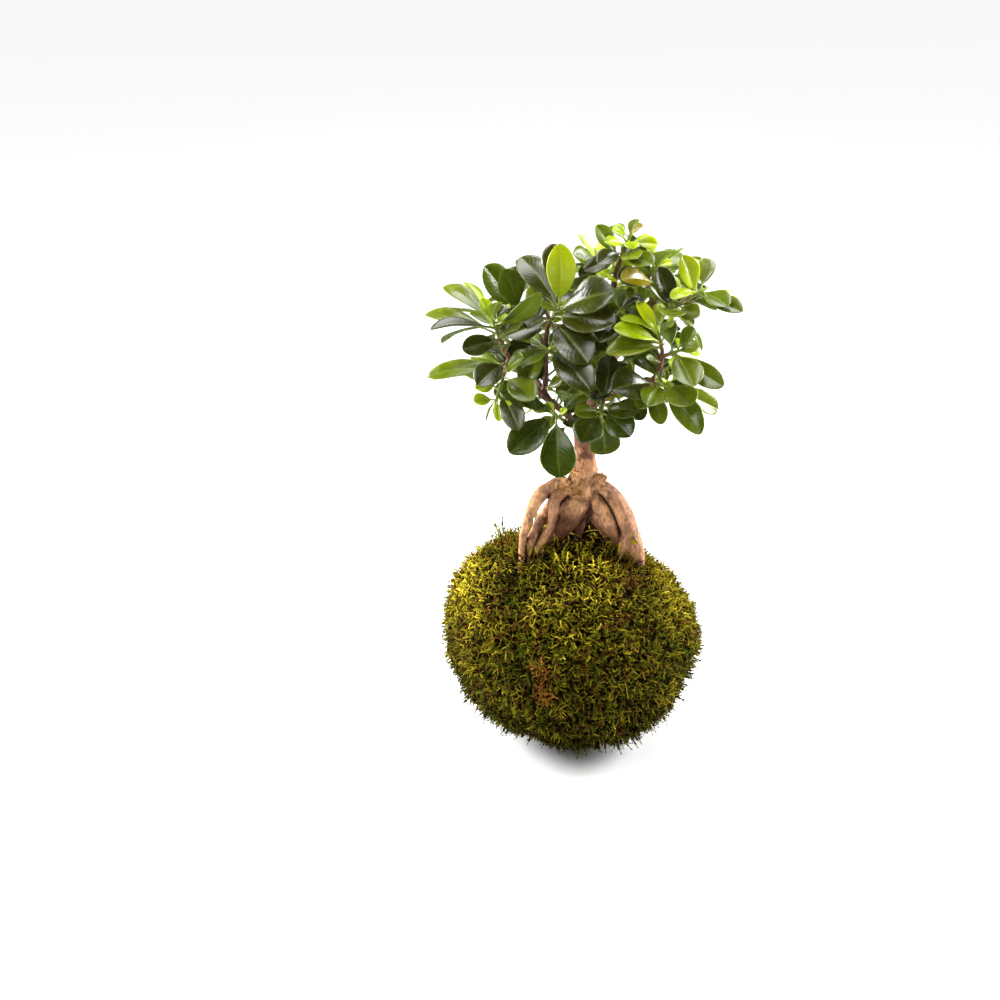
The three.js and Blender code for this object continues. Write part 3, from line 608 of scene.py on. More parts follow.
# The matted old growth under the shoots: the same face, sunk by its depth and roughened by noise. It
# comes out to the face at the flat spot, where the ball rests on it.
def makeMat():
    level = np.linspace(lowestLevel, math.pi / 2 - 0.02, matSettings["levels"])[:, None]
    angle = np.linspace(0, 2 * math.pi, matSettings["sides"], endpoint=False)[None, :]
    level, angle = np.broadcast_arrays(level, angle)
    face, normal = ballFace(angle, level), ballNormal(angle, level)
    flat = face.reshape(-1, 3)
    rough = matSettings["roughness"] * (0.6 * noise(flat, 6, 11) + 0.4 * noise(flat, 2.5, 12))
    above = level - lowestLevel
    sunk = matSettings["depth"] * ease(above, 0, 0.25) - rough.reshape(level.shape) * ease(above, 0, 0.3)
    rings = face - normal * sunk[..., None]
    rings[..., 2] = np.maximum(rings[..., 2], 0)
    shape = closedTube(rings, [0, 0, 0], [0, 0, rings[-1, :, 2].mean() + 0.1])
    makePiece("moss_mat", shape, [matFinish], ["moss_cover"])


makeMat()
print("moss mat made")

shootSettings = {
    "count": 26000,
    "length": (6.5, 10.5),
    "start": (-12, 28),  # degrees from the normal at its foot
    "curl": (30, 165),  # further degrees along its length
    "width": 0.78,  # half width over the leaflets
    "stem": 0.36,  # of that, between them
    "thickness": 0.45,
    "tiers": 3,  # of leaflets
    "depth": 6.4,  # of its foot under the face
    "longer": 0.08,  # share of them that are longer and straighter
    "collar": 8,  # distance from the wood within which they stand taller
    "topFrom": 50,  # degrees above the middle at which the top section starts
}


# Moss shoots, all at once: each is an arc that bends from the normal towards a heading of its own, with
# tiers of leaflets. Its section is a flat triangle that goes narrow, wide, narrow, wide along the arc,
# and the wide one's corners point forward. Gives their points, and how far along the arc each point is.
def shootShapes(foot, normal, heading, length, start, curl, sway, twist, scale):
    tiers = shootSettings["tiers"]
    count = len(foot)
    share = np.concatenate([[0], (np.arange(2 * tiers) + np.tile([0.35, 0.45], tiers)) / (2 * tiers), [1]])
    bend = start[:, None] + curl[:, None] * share
    aside = sway[:, None] * share
    across = np.cross(normal, heading)
    outwards = heading[:, None] * np.cos(aside)[..., None] + across[:, None] * np.sin(aside)[..., None]
    along = normal[:, None] * np.cos(bend)[..., None] + outwards * np.sin(bend)[..., None]
    up = normal[:, None] * np.sin(bend)[..., None] - outwards * np.cos(bend)[..., None]
    stretch = np.diff(share)[None, :, None] * length[:, None, None]
    middle = np.cumsum((along[:, 1:] + along[:, :-1]) / 2 * stretch, axis=1)
    middle = np.concatenate([np.zeros((count, 1, 3)), middle], axis=1) + foot[:, None]
    side = np.cross(along, up)
    turn = twist[:, None] * (share - 0.3)
    upright = up * np.cos(turn)[..., None] + side * np.sin(turn)[..., None]
    sideways = side * np.cos(turn)[..., None] - up * np.sin(turn)[..., None]
    inner = share[1:-1]
    outline = np.sin(math.pi * (0.16 + 0.8 * inner)) ** 0.7
    half = shootSettings["width"] * outline * np.tile([shootSettings["stem"], 1], tiers)
    forward = np.tile([0, 0.5], tiers) * outline
    rings = []
    for theta in (0, 2 * math.pi / 3, 4 * math.pi / 3):
        offset = (
            upright[:, 1:-1] * (math.cos(theta) * shootSettings["thickness"] * half)[:, None]
            + sideways[:, 1:-1] * (math.sin(theta) * 1.15 * half)[:, None]
            + along[:, 1:-1] * (abs(math.sin(theta)) * 1.15 * forward)[:, None]
        )
        rings.append(middle[:, 1:-1] + offset * scale[:, None, None])
    rings = np.stack(rings, axis=2).reshape(count, -1, 3)
    points = np.concatenate([middle[:, :1], rings, middle[:, -1:]], axis=1)
    return points, np.concatenate([[0], np.repeat(inner, 3), [1]])


# Shoots as one shape, with the faces of a single shoot repeated for each.
def shootMesh(points, tone):
    count, size = points.shape[:2]
    single = closedTube(np.zeros((2 * shootSettings["tiers"], 3, 3)), [0, 0, 0], [0, 0, 0])
    starts = np.arange(count)[:, None, None] * size
    return {
        "points": points.reshape(-1, 3),
        "tone": tone.reshape(-1, 3),
        "quads": (single["quads"] + starts).reshape(-1, 4),
        "triangles": (single["triangles"] + starts).reshape(-1, 3),
    }


mossTones = {
    "green": colour(84, 100, 14),
    "olive": colour(122, 112, 20),
    "lime": colour(162, 151, 30),
    "yellow": colour(210, 190, 50),
    "brown": colour(112, 74, 26),
    "orange": colour(184, 112, 48),
    # dark foot of the shoots: their own darker growth, and painted shade in the gaps
    "darkFootAndShade": colour(30, 16, 1),
    "sprig": colour(150, 158, 92),
}

# From green, how far each tone takes over as shoots get fresher: [tone, from, to].
freshness = [["olive", -0.8, -0.1], ["lime", -0.1, 0.6], ["yellow", 0.6, 1.3]]

# Patches of dried moss on the ball: [x, y, z, half width, half height, tone].
mossPatches = [
    [-22.5, -86.3, 81, 5, 12, "orange"],
    [-25.5, -84, 98, 2.5, 5, "orange"],
    [-47, 6.6, 142.8, 4.5, 3, "orange"],
    [-9, -86.7, 58, 4, 7, "yellow"],
    [84, -18, 84, 6, 5, "brown"],
    [38, -40, 133, 7, 6, "brown"],
    [-20, -30, 150, 9, 4, "olive"],
]


# The tone of each point of each shoot. Fresh shoots are lime or yellow and old ones brown, in patches. The
# sides and top of the dome get painted light, which also turns them towards lime and yellow, and the place
# between the roots gets painted light. Under the ball and between clumps there is painted shade, and each
# shoot is dark at its foot, partly its own darker growth and partly painted shade in the gaps.
def mossTone(rng, face, level, clump, freshDraw, oldDraw, shares):
    x, y, z = face.T
    patch = 0.4 * noise(face, 20, 31) + 0.35 * noise(face, 7, 32)
    # Painted light on the left and right sides and on the top of the dome.
    left = 1.3 * ease(-x, 38, 78) * ease(z, 75, 132)
    right = 1.5 * ease(x, 44, 74) * ease(z, 92, 130)
    top = 0.55 * ease(z, 105, 135) * ease(48 - np.abs(x), 0, 20)
    lit = np.maximum(np.where(x < 0, left, right), top)
    # The painted light also counts as freshness here, so lit moss turns towards lime and yellow.
    fresh = patch + blend(-0.9, 0.9, freshDraw) + 0.25 * np.sin(level) - 0.2 + 0.7 * lit + 0.3 * clump
    tip = mossTones["green"]
    for name, low, high in freshness:
        tip = blend(tip, mossTones[name], ease(fresh, low, high)[:, None])
    old = (oldDraw < 0.13 + 0.28 * np.maximum(noise(face, 11, 33), 0))[:, None]
    tip = np.where(old, mossTones["brown"], tip)
    ragged = 0.5 * noise(face, 5, 34)
    for a, b, c, wide, high, name in mossPatches:
        reach = np.sqrt(((x - a) ** 2 + (y - b) ** 2) / wide ** 2 + (z - c) ** 2 / high ** 2)
        inside = 1 - ease(reach + ragged + blend(-0.25, 0.25, freshDraw), 0.75, 1.1)
        tip = blend(tip, mossTones[name], 0.8 * inside[:, None])
    tip = tip * np.clip(1 + 0.22 * rng.normal(0, 1, (len(face), 1)), 0.5, 1.7)
    # Painted light on the moss between the roots.
    litBetweenRoots = ease(z, 136, 150) * (1 - ease(np.hypot(x - 8, y + 12), 26, 42))
    # Painted shade: darker under the ball and between clumps. Then the painted light of the sides, the top
    # and the place between the roots brightens the tone.
    under = ease(-level, -0.25, 0.9)
    shade = (1 - 0.46 * under) * (1 + (0.36 + 0.44 * under) * np.clip(clump, -1, 1))
    shade = shade * (0.82 + 0.35 * lit + 0.7 * litBetweenRoots)
    tip = np.maximum(tip, 0.003) * shade[:, None]
    # The dark foot of each shoot is partly its own darker growth and partly painted shade in the gaps,
    # darker still under the ball.
    darkFootAndShade = mossTones["darkFootAndShade"] * (1 - 0.7 * under)[:, None]
    fade = ease(shares[None, :], 0.2 + 0.2 * under[:, None], 0.95)
    return blend(darkFootAndShade[:, None], tip[:, None], fade[..., None])


mossSections = ["right_back", "back", "left_back", "left_front", "front", "right_front", "top"]


# Shoots spread evenly over the face, by equal steps of height and turns of the golden angle. Their lengths
# and slants go in clumps. Round the roots they stand taller and lean away from the wood.
def makeMoss():
    rng = np.random.default_rng(7)
    count = shootSettings["count"]
    number = np.arange(count)
    height = (number + rng.random(count)) / count
    low = math.sin(lowestLevel)
    level = np.arcsin(np.clip(low + (1 - low) * height, -1, 0.9999))
    angle = (number * math.pi * (3 - math.sqrt(5)) + rng.normal(0, 0.02, count)) % (2 * math.pi)
    face, normal = ballFace(angle, level), ballNormal(angle, level)

    between = rng.random((9, count))
    clump = 0.7 * noise(face, 13, 21) + 0.5 * noise(face, 6.5, 24)
    length = blend(*shootSettings["length"], between[0]) * (1 + 0.2 * clump)
    start = np.radians(blend(*shootSettings["start"], between[1]))
    curl = np.radians(blend(*shootSettings["curl"], between[2]))
    longer = between[3] < shootSettings["longer"]
    length = np.where(longer, length * 1.35, length) * (1 - 0.55 * ease(-level, 0.75, 1.1))
    start = np.where(longer, start * 0.5, start)
    curl = np.where(longer, curl * 0.5, curl)

    woodGap, away = fromLimbs(face, thickLimbs, 10)
    collar = 1 - ease(woodGap, 0.5, shootSettings["collar"])
    length = length + 3 * collar
    start = blend(start, 0.35 * start, collar)
    curl = blend(curl, 0.55 * curl, collar)
    foot = face - normal * (shootSettings["depth"] * (1 - 0.55 * collar) - 2.6 * clump)[:, None]

    # Headings lie in the face, and clumps share part of theirs.
    drift = np.stack([noise(face, 10, 22 + i) for i in range(3)], axis=1)
    heading = rng.normal(0, 1, (count, 3)) + 0.5 * drift
    heading[:, 2] += ease(-level, 0.75, 1.05) - 0.12
    heading = heading + 2.5 * collar[:, None] * away
    heading = unit(heading - dot(heading, normal) * normal)
    sway, twist = blend(-1.5, 1.5, between[4:6])
    scale = blend(0.75, 1.2, between[6])
    points, shares = shootShapes(foot, normal, heading, length, start, curl, sway, twist, scale)
    tone = mossTone(rng, face, level, clump, between[7], between[8], shares)

    # Squeezed flat where the ball rests: heights under 3 are eased towards 0.3.
    z = points[..., 2]
    points[..., 2] = np.where(z < 3, 0.3 + 2.7 * np.exp(np.minimum(z - 3, 0) / 2.7), z)

    resting = (face[:, 2] < 2.5) & (np.hypot(face[:, 0], face[:, 1]) < 32)
    keep = ~resting & (woodGap > -0.5)
    section = (angle // (math.pi / 3)).astype(int)
    section = np.where(level > math.radians(shootSettings["topFrom"]), len(mossSections) - 1, section)
    for k, name in enumerate(mossSections):
        chosen = keep & (section == k)
        shape = shootMesh(points[chosen], tone[chosen])
        makePiece("moss_" + name, shape, [mossFinish], ["moss_cover"], smooth=False)
        print("moss", name, chosen.sum(), "shoots")


makeMoss()

detailSettings = {
    "fibres": 460,  # crumbs of old bark and root hair round the root crown
    "fibreBand": (181, 203),  # heights between which they stick
    # moss that climbs a root: [x, y, z, shoots], long pale shoots: [x, y, z, length, shoots], and loose
    # bits: [x, y, z, length]
    "tufts": [[38.8, -21, 156.4, 9], [33, -17, 150, 6]],
    "sprigs": [[-49, 19, 142, 15, 5], [-52, 22, 139, 10, 3], [60, -30, 122, 9, 2]],
    "strays": [[86.5, -12, 76, 6], [78, -41, 75, 6], [-84, -20, 92, 5]],
}
fibreTones = np.array([colour(198, 150, 94), colour(150, 98, 54), colour(172, 134, 70)])


# Fine shoots in the moss's own form, standing on given points with given normals.
def standing(rng, foot, normal, length, start, curl, width, tone):
    count = len(foot)
    heading = rng.normal(0, 1, (count, 3))
    heading = unit(heading - dot(heading, normal) * normal)
    sway, twist = 3 * rng.random((2, count)) - 1.5
    bends = np.radians(start), np.radians(curl)
    points, shares = shootShapes(foot, normal, heading, length, *bends, sway, twist, width)
    shade = blend(0.75, 1.1, shares)[None, :, None] * (1 + 0.2 * rng.normal(0, 1, (count, 1, 1)))
    return shootMesh(points, np.maximum(tone[:, None] * shade, 0.003))


def makeFibres(rng):
    low, high = detailSettings["fibreBand"]
    z = woodPoints[:, 2] + 5 * noise(woodPoints, 6, 41)
    near = np.flatnonzero((z > low) & (z < high) & (np.hypot(woodPoints[:, 0] - 5, woodPoints[:, 1]) < 19))
    weight = np.maximum(noise(woodPoints[near], 4.5, 42) + 0.15, 0) ** 1.5
    chosen = rng.choice(near, detailSettings["fibres"], p=weight / weight.sum())
    count = len(chosen)
    tone = fibreTones[rng.integers(0, 3, count)]
    fibres = standing(rng, woodPoints[chosen] - 0.2 * woodNormals[chosen], woodNormals[chosen],
                      rng.uniform(1.8, 4.2, count), rng.uniform(40, 75, count), rng.uniform(30, 120, count),
                      rng.uniform(0.55, 1.1, count), tone)
    makePiece("root_fibres", fibres, [mossFinish], [], smooth=False)


def makeSprigs(rng):
    parts = []
    for x, y, z, count in detailSettings["tufts"]:
        nearest = np.argsort(np.linalg.norm(woodPoints - [x, y, z], axis=1))[:60]
        chosen = rng.choice(nearest, count)
        parts.append(standing(rng, woodPoints[chosen], woodNormals[chosen], rng.uniform(3, 5, count),
                              rng.uniform(0, 50, count), rng.uniform(20, 120, count), np.ones(count),
                              np.tile(mossTones["lime"], (count, 1))))
    for x, y, z, length, count in detailSettings["sprigs"]:
        foot = np.array([x, y, z]) + rng.uniform(-2, 2, (count, 3)) * [1, 1, 0.2]
        upright = unit(np.array([[x / 300, y / 300, 1]]) + rng.normal(0, 0.12, (count, 3)))
        parts.append(standing(rng, foot, upright, rng.uniform(0.75, 1.1, count) * length, np.zeros(count),
                              rng.uniform(10, 60, count), np.full(count, 1.25),
                              np.tile(mossTones["sprig"], (count, 1))))
    for x, y, z, length in detailSettings["strays"]:
        numbers = np.array([[length], [20], [70], [1.2]], float)
        out = unit(np.array([[x, y, 0.0]]))
        parts.append(standing(rng, np.array([[x, y, z]]), out, *numbers, mossTones["sprig"][None]))
    makePiece("moss_sprigs", gather(parts), [mossFinish], [], smooth=False)


detailRng = np.random.default_rng(29)
makeFibres(detailRng)
makeSprigs(detailRng)
print("fibres and sprigs made")

# Leaves: the rule of the sprays is the model's own, and each leaf takes the turn that the model gave it

# Each spray: its foot, its end, a tone for each leaf, and the leaves as
# [place along the spray, heading, rise, length, width, roll], where no roll is 0.
sprays = {
    "spray_left": [[-47, -26, 289], [-54, -24, 308], "GMGMMYYGM", [
        [0.95, 140, 25, 46, 13, 10], [0.8, -155, 10, 44, 14, 35], [0.6, 160, 10, 50, 14, 20],
        [0.4, -140, 0, 30, 14, -25], [0.45, -70, 25, 36, 20], [1, -75, 55, 20, 9], [1, -155, 65, 18, 8],
        [0.9, -30, 35, 40, 14, 70], [0.7, 60, 5, 32, 14],
    ]],
    "spray_left_behind": [[-30, 12, 296], [-42, 22, 304], "GGMMG", [
        [0.9, -140, 55, 40, 22], [0.7, -120, 55, 37, 20], [1, 80, 30, 40, 19], [0.5, 135, 5, 38, 18],
        [0.4, 60, 30, 34, 15],
    ]],
    "spray_crown": [[-19, -6, 300], [-11, -8, 314], "MMYYGMMMMMM", [
        [0.9, 135, 40, 44, 21], [1, 100, 50, 42, 19], [1, -90, 80, 42, 19], [0.95, -25, 25, 24, 8],
        [0.8, -115, 20, 24, 12], [0.7, -35, 20, 46, 27], [0.5, -35, 5, 46, 25],
        [0.35, -115, 20, 38, 18, 30], [0.3, -60, -20, 46, 25], [0.25, -155, -15, 34, 17],
        [0.15, -10, -20, 40, 19],
    ]],
    "spray_middle": [[-20, -8, 283], [-18, -20, 289], "MGGMGM", [
        [0.9, -55, -20, 46, 23], [0.9, -125, 0, 33, 17, 20], [0.6, -120, -25, 34, 17, 20],
        [0.4, 135, 0, 34, 17], [0.25, -15, -20, 36, 18], [0.2, 175, -20, 30, 14],
    ]],
    "spray_left_low": [[-44, -27, 285], [-52, -44, 262], "GMGGGYMYYYG", [
        [0.25, 180, -5, 50, 16, 15], [0.15, -125, -10, 32, 18], [0.2, 145, 5, 28, 10],
        [0.35, -60, 45, 26, 15], [0.45, -50, -15, 30, 18], [0.6, -150, 0, 18, 12], [0.8, -65, -30, 32, 15],
        [1, -140, 10, 18, 10], [1, -85, -35, 16, 6], [0.95, -55, -10, 14, 8], [0.95, 180, -65, 16, 7, 70],
    ]],
    "spray_low": [[-2, -14, 234], [-15, -26, 247], "DDDGY", [
        [0.95, -140, 30, 34, 15, 20], [0.95, -135, -20, 43, 22], [0.85, -85, -55, 40, 24],
        [0.7, 55, 15, 38, 16], [1, -120, 50, 14, 5],
    ]],
    "spray_low_right": [[18, -14, 251], [16, -24, 247], "GMDDDDG", [
        [1, -135, 15, 24, 12], [0.8, 155, -25, 26, 11], [1, -120, -25, 28, 20], [1, -55, -20, 29, 20],
        [0.9, 45, -80, 32, 21], [0.8, -45, 15, 30, 16], [0.5, 100, 30, 30, 13],
    ]],
    "spray_right": [[54, -26, 289], [51, -28, 302], "GGYGYGGYY", [
        [0.25, -155, 5, 38, 18, 15], [0.2, 140, -25, 34, 15, 20], [0.5, -155, 25, 35, 14, 10],
        [0.4, 145, -5, 36, 13], [0.8, -170, 60, 27, 9], [0.85, 135, 30, 30, 13], [0.9, -60, 45, 20, 13],
        [1, 85, 45, 22, 9], [0.9, -165, 30, 28, 10, 30],
    ]],
    "spray_right_low": [[47, -25, 267], [57, -38, 271], "MGGGGGY", [
        [0.2, -135, 10, 38, 25], [0.4, -120, -10, 26, 14], [0.6, -110, -10, 28, 17], [0.9, -65, -5, 32, 21],
        [0.8, -60, -25, 44, 18], [1, 25, -30, 44, 15, 10], [1, -45, -30, 36, 7, 40],
    ]],
    "spray_right_out": [[54, -27, 286], [62, -36, 292], "GGGYYY", [
        [0.6, -45, -15, 44, 15, 20], [0.9, -75, -25, 36, 20], [1, -50, 25, 20, 10], [1, 75, 15, 16, 7],
        [0.8, -85, -15, 18, 12], [0.7, 20, -35, 38, 9],
    ]],
    "spray_right_high": [[66, -10, 316], [78, -14, 325], "YYGYGGY", [
        [0.7, -130, 65, 30, 15], [0.8, 95, 40, 28, 12], [1, 70, 35, 26, 12], [1, 30, -20, 36, 12],
        [1, -65, 0, 32, 15], [0.9, -50, -5, 38, 14], [0.9, -140, 5, 24, 10, 10],
    ]],
    "spray_right_middle": [[58, -8, 312], [61, -18, 314], "GGGMYG", [
        [0.8, -95, -5, 34, 18], [0.8, 20, -50, 38, 5], [0.5, -150, 35, 24, 12], [0.9, -145, 65, 32, 16],
        [1, 90, 50, 24, 9], [1, -75, 35, 20, 9],
    ]],
    "spray_upper_right": [[49, -2, 324], [49, 0, 337], "YGMOYG", [
        [0.8, -65, 45, 28, 15], [0.6, 50, 20, 32, 15], [0.3, -145, 15, 30, 16], [0.2, -130, 5, 34, 16],
        [1, 100, 25, 24, 11], [0.9, 115, 5, 28, 13],
    ]],
    "spray_top": [[28, 4, 342], [33, 2, 356], "OOYYYGMYGMG", [
        [1, -70, 55, 18, 7], [1, 60, 20, 18, 5], [0.8, 120, 20, 20, 7], [0.9, -85, -5, 16, 10],
        [0.6, -130, 20, 22, 9], [0.3, -60, 0, 32, 15], [0.25, -125, 0, 28, 13], [0.7, 35, 0, 22, 9],
        [0.2, -75, -10, 28, 14], [0.1, -160, -15, 26, 12], [0.1, -20, -20, 28, 13],
    ]],
    "spray_upper_middle": [[19, 20, 317], [14, 26, 332], "YGYMYGGYY", [
        [1, -135, 55, 28, 10, 30], [0.8, -125, 30, 34, 18], [0.6, -55, 25, 30, 13], [0.5, -120, 15, 30, 13],
        [0.9, 75, 30, 26, 11], [0.7, 115, -10, 36, 15], [0.3, -75, 10, 28, 13], [0.15, -30, -5, 30, 14],
        [0.75, -90, 5, 24, 12],
    ]],
    "spray_inner": [[23, 8, 285], [23, -8, 286], "MGMMM", [
        [0.8, -100, -30, 38, 20], [0.6, 130, -50, 28, 13], [0.9, -140, 20, 38, 17], [0.5, 50, -40, 36, 16],
        [0.25, -10, -15, 34, 16],
    ]],
    "spray_inner_high": [[25, 6, 303], [29, -12, 312], "YMGMMG", [
        [1, -75, -5, 20, 9], [0.8, -115, 0, 36, 17], [0.7, -105, 45, 32, 14], [0.7, -65, 30, 32, 14],
        [0.3, -150, -20, 32, 15], [0.35, -30, -25, 32, 15],
    ]],
}

# Sprays of the far side, by the rule in allSprays: [from, to, leaf count, longest leaf, first heading].
farSprays = {
    "spray_far_left": [[-50, 30, 286], [-62, 42, 298], 7, 42, 150],
    "spray_far_left_middle": [[-18, 54, 292], [-24, 62, 308], 7, 42, 100],
    "spray_far_low": [[15, 42, 248], [17, 56, 256], 6, 36, 80],
    "spray_far_right": [[58, 50, 300], [68, 56, 312], 7, 40, 40],
    "spray_far_middle": [[14, 42, 310], [12, 50, 322], 6, 36, 95],
    "spray_far_upper_right": [[52, 34, 318], [60, 40, 328], 6, 32, 60],
}

leafTones = {
    "M": colour(49, 53, 5),
    "D": colour(60, 73, 3),
    "G": colour(92, 107, 9),
    "Y": colour(162, 184, 4),
    "O": colour(124, 110, 2),
}
leafSettings = {
    "across": [-1, -0.92, -0.74, -0.45, -0.15, 0, 0.15, 0.45, 0.74, 0.92, 1],
    "stations": [0, 0.03, 0.08, 0.15, 0.25, 0.37, 0.5, 0.62, 0.73, 0.83, 0.91, 0.965, 0.993],
    "petioleStations": [0.35, 0.7],
    "thickness": 0.5,
    "petioleRadius": 0.75,
    "fold": 0.24,  # rise of the blade's edge over its rib, per half width
    "arch": 0.06,  # rise of the rib's middle, per length
    "underside": colour(120, 138, 84),
    "rib": colour(170, 186, 96),
    "grown": 42,  # length from which the line from foot to tip follows the rib, not the middle of the fold
}
turnSteps = (0, 1, -1, 2, -2, 3, -3)
turnsOf = [(8 * h, 7 * r, share) for share in (1, 0.9, 0.8, 0.7) for h in turnSteps for r in turnSteps]
nearLight = np.array([0, -0.7, 0.7])
farLight = np.array([0, 0.5, 0.8])


def direction(heading, rise):
    a, e = math.radians(heading), math.radians(rise)
    return np.array([math.cos(e) * math.cos(a), math.cos(e) * math.sin(a), math.sin(e)])


# Repeatable draws from 0 to 1: state times 1664525 plus 1013904223, modulo 2 to the 32nd.
def seededDraw(state):
    while True:
        state = (state * 1664525 + 1013904223) % 2 ** 32
        yield state / 2 ** 32


# A leaf's foot is near the face of the shoot, on the side that the leaf heads to.
def leafFoot(start, end, row):
    axis = unit(end - start)
    out = direction(row[1], row[2])
    out = unit(out - dot(out, axis) * axis)
    return start + (end - start) * row[0] + out * 0.75


# All rows of leaves with their tones: a near spray's own, then two on the side that is turned away. The
# leaves of the far side stand a golden angle apart.
def allSprays():
    draw = seededDraw(4711)
    found = {}
    for name, (start, end, tones, leaves) in sprays.items():
        rows = [leaf if len(leaf) == 6 else leaf + [0] for leaf in leaves]
        longest = max(row[3] for row in rows)
        for k, heading in enumerate([60, 120]):
            length = longest * (0.68 + 0.1 * next(draw))
            turned = heading + 24 * (next(draw) - 0.5)
            rows.append([0.4 + 0.35 * k, turned, 8 + 20 * next(draw), length, length * 0.46, 0])
        found[name] = (start, end, nearLight, rows, tones + "MG")
    for name, (start, end, count, longest, first) in farSprays.items():
        rows, tones = [], ""
        for k in range(count):
            t = k / (count - 1)
            length = longest * (1 - 0.42 * t) * (0.92 + 0.16 * next(draw))
            heading = first + k * 137.5 + 16 * (next(draw) - 0.5)
            rise = -12 + 62 * t + 14 * (next(draw) - 0.5)
            rows.append([0.25 + 0.75 * t, heading, rise, length, length * 0.48, 40 * (next(draw) - 0.5)])
            tones += "M" if t < 0.5 else "G" if t < 0.8 else "Y"
        found[name] = (start, end, farLight, rows, tones)
    return found


# The turn that puts the leaf's tip on a corner of the model's own solid, or None if it has no such leaf.
def modelledRow(foot, row, corners):
    at, heading, rise, length, width, roll = row
    rows = [[at, heading + h, rise + r, length * share, width * share, roll] for h, r, share in turnsOf]
    tips = np.array([foot + direction(turned[1], turned[2]) * turned[3] for turned in rows])
    gaps = np.linalg.norm(tips[:, None] - corners[None], axis=2).min(axis=1)
    best = int(gaps.argmin())
    return rows[best] if gaps[best] < 0.1 else None


# The tone of a leaf's points: paler underneath, a light rib and margin, a lighter petiole, and one half of
# the blade painted lighter than the other, as light falling on one side of its fold. s goes from foot to
# tip, u from edge to edge, over is the side, and flat says how much of a blade it is.
def leafTone(tone, rng, s, u, over, flat):
    base = tone * (1 + rng.uniform(-0.14, 0.14)) * np.array([1 + rng.uniform(-0.08, 0.08), 1, 1])
    # The leaf's own tone drifts from foot to tip and towards the edges, and one half is painted lighter
    # than the other.
    driftAndLitHalf = rng.uniform(-0.5, 0.5) * (s - 0.5) + rng.uniform(-0.16, 0.16) * u
    driftAndLitHalf = driftAndLitHalf + rng.uniform(-0.1, 0.3) * u ** 2
    shade = base * (1 + driftAndLitHalf[..., None] * (0.5 + np.array([0.6, 0.35, 0.1])))
    shade = blend(shade, leafSettings["rib"], 0.28 * ease(np.abs(u), 0.9, 1)[..., None])
    shade = blend(shade, blend(base, leafSettings["underside"], 0.55), (over < 0)[..., None])
    onRib = (np.exp(-(u / 0.06) ** 2) * np.maximum(0.2 - 0.1 * s, 0))[..., None]
    shade = blend(shade, leafSettings["rib"], onRib)
    shade = blend(shade, blend(base, leafSettings["rib"], 0.5), (1 - flat)[..., None] * 0.8)
    return np.concatenate([shade[0, :1], shade.reshape(-1, 3), shade[-1, :1]])


# One leaf. A loop of points goes over the upper face from edge to edge and back below it. It is a circle
# round the petiole and turns into the blade's section: edges raised over the rib, a groove above the rib
# and a ridge below it. The blade's half width is a sine pushed towards the tip and rounded off, the rib
# arches to one side of the straight line from foot to tip, and the edges wave a little.
def leafShape(foot, row, light, tone, rng):
    _, heading, rise, length, width, roll = row
    along = direction(heading, rise)
    towards = np.array([0.0, 0.0, 1.0]) if abs(along @ light) > 0.92 else light
    side = unit(np.cross(along, towards))
    a = math.radians(roll)
    side = side * math.cos(a) + np.cross(along, side) * math.sin(a)
    face = np.cross(side, along)

    petiole = min(0.2, 4 / length)
    stem = [-1.2 / length] + [petiole * x for x in leafSettings["petioleStations"]]
    s = np.array([0] * len(stem) + leafSettings["stations"], float)[:, None]
    t = np.concatenate([stem, petiole + (1 - petiole) * np.array(leafSettings["stations"])])[:, None]
    radius = leafSettings["petioleRadius"] * min(1, length / 26)
    bulge = np.sin(math.pi * s ** rng.uniform(1.4, 1.75)) ** rng.uniform(0.48, 0.64)
    half = np.maximum(width / 2 * bulge, np.where(s < 0.5, radius, 0.15))
    flat = ease(s, 0, 0.17)

    top = np.array(leafSettings["across"])
    u = np.concatenate([top, top[-2:0:-1]])[None, :]
    over = np.concatenate([np.ones(len(top)), -np.ones(len(top) - 2)])[None, :]
    circle = over * np.sqrt(np.maximum(1 - u ** 2, 0))
    thick = leafSettings["thickness"] / 2 * (1 - 0.4 * s)
    wave = rng.uniform(0, 2 * math.pi)
    fold = leafSettings["fold"] * rng.uniform(0.6, 1.5)
    lowered = 0 if length >= leafSettings["grown"] else 0.45
    folded = fold * half * (2 * np.abs(u) - u ** 2 - lowered)
    ripple = 0.07 * half * u ** 2 * np.sin(rng.uniform(4, 8) * s + wave + 1.2 * np.sign(u))
    groove = np.where(over > 0, -0.14, -0.5 * (1 - 0.65 * s)) * np.exp(-(u / 0.09) ** 2)
    up = blend(radius * circle, folded + ripple + groove + thick * over * np.abs(circle) ** 0.6, flat)
    out = blend(radius * u, half * u, flat)
    lean = rng.uniform(-0.03, 0.03) * length
    hump = np.maximum(4 * t * (1 - t), 0)
    droop = rng.uniform(0, 0.09) * length * np.clip((t - 0.55) / 0.45, 0, 1) ** 2
    arch = length * leafSettings["arch"] * rng.uniform(0.6, 1.6) * hump
    rib = foot + along * (length * t) + face * (arch - droop) + side * (lean * hump)
    rings = rib[:, None] + side * out[..., None] + face * up[..., None]
    shape = closedTube(rings, rib[0] - along * 0.3, foot + along * length - face * droop[-1] * 1.02)
    uv = np.stack(np.broadcast_arrays(0.5 + u / 2, np.maximum(t, 0)), axis=-1)
    shape["tone"] = leafTone(tone, rng, s, u, over, flat)
    shape["map"] = np.concatenate([[[0.5, 0]], uv.reshape(-1, 2), [[0.5, 1]]])
    shape["kind"] = np.zeros(len(shape["points"]), int)
    return shape


shootTones = {"old": colour(132, 92, 58), "young": colour(120, 140, 48), "bud": colour(176, 190, 60)}


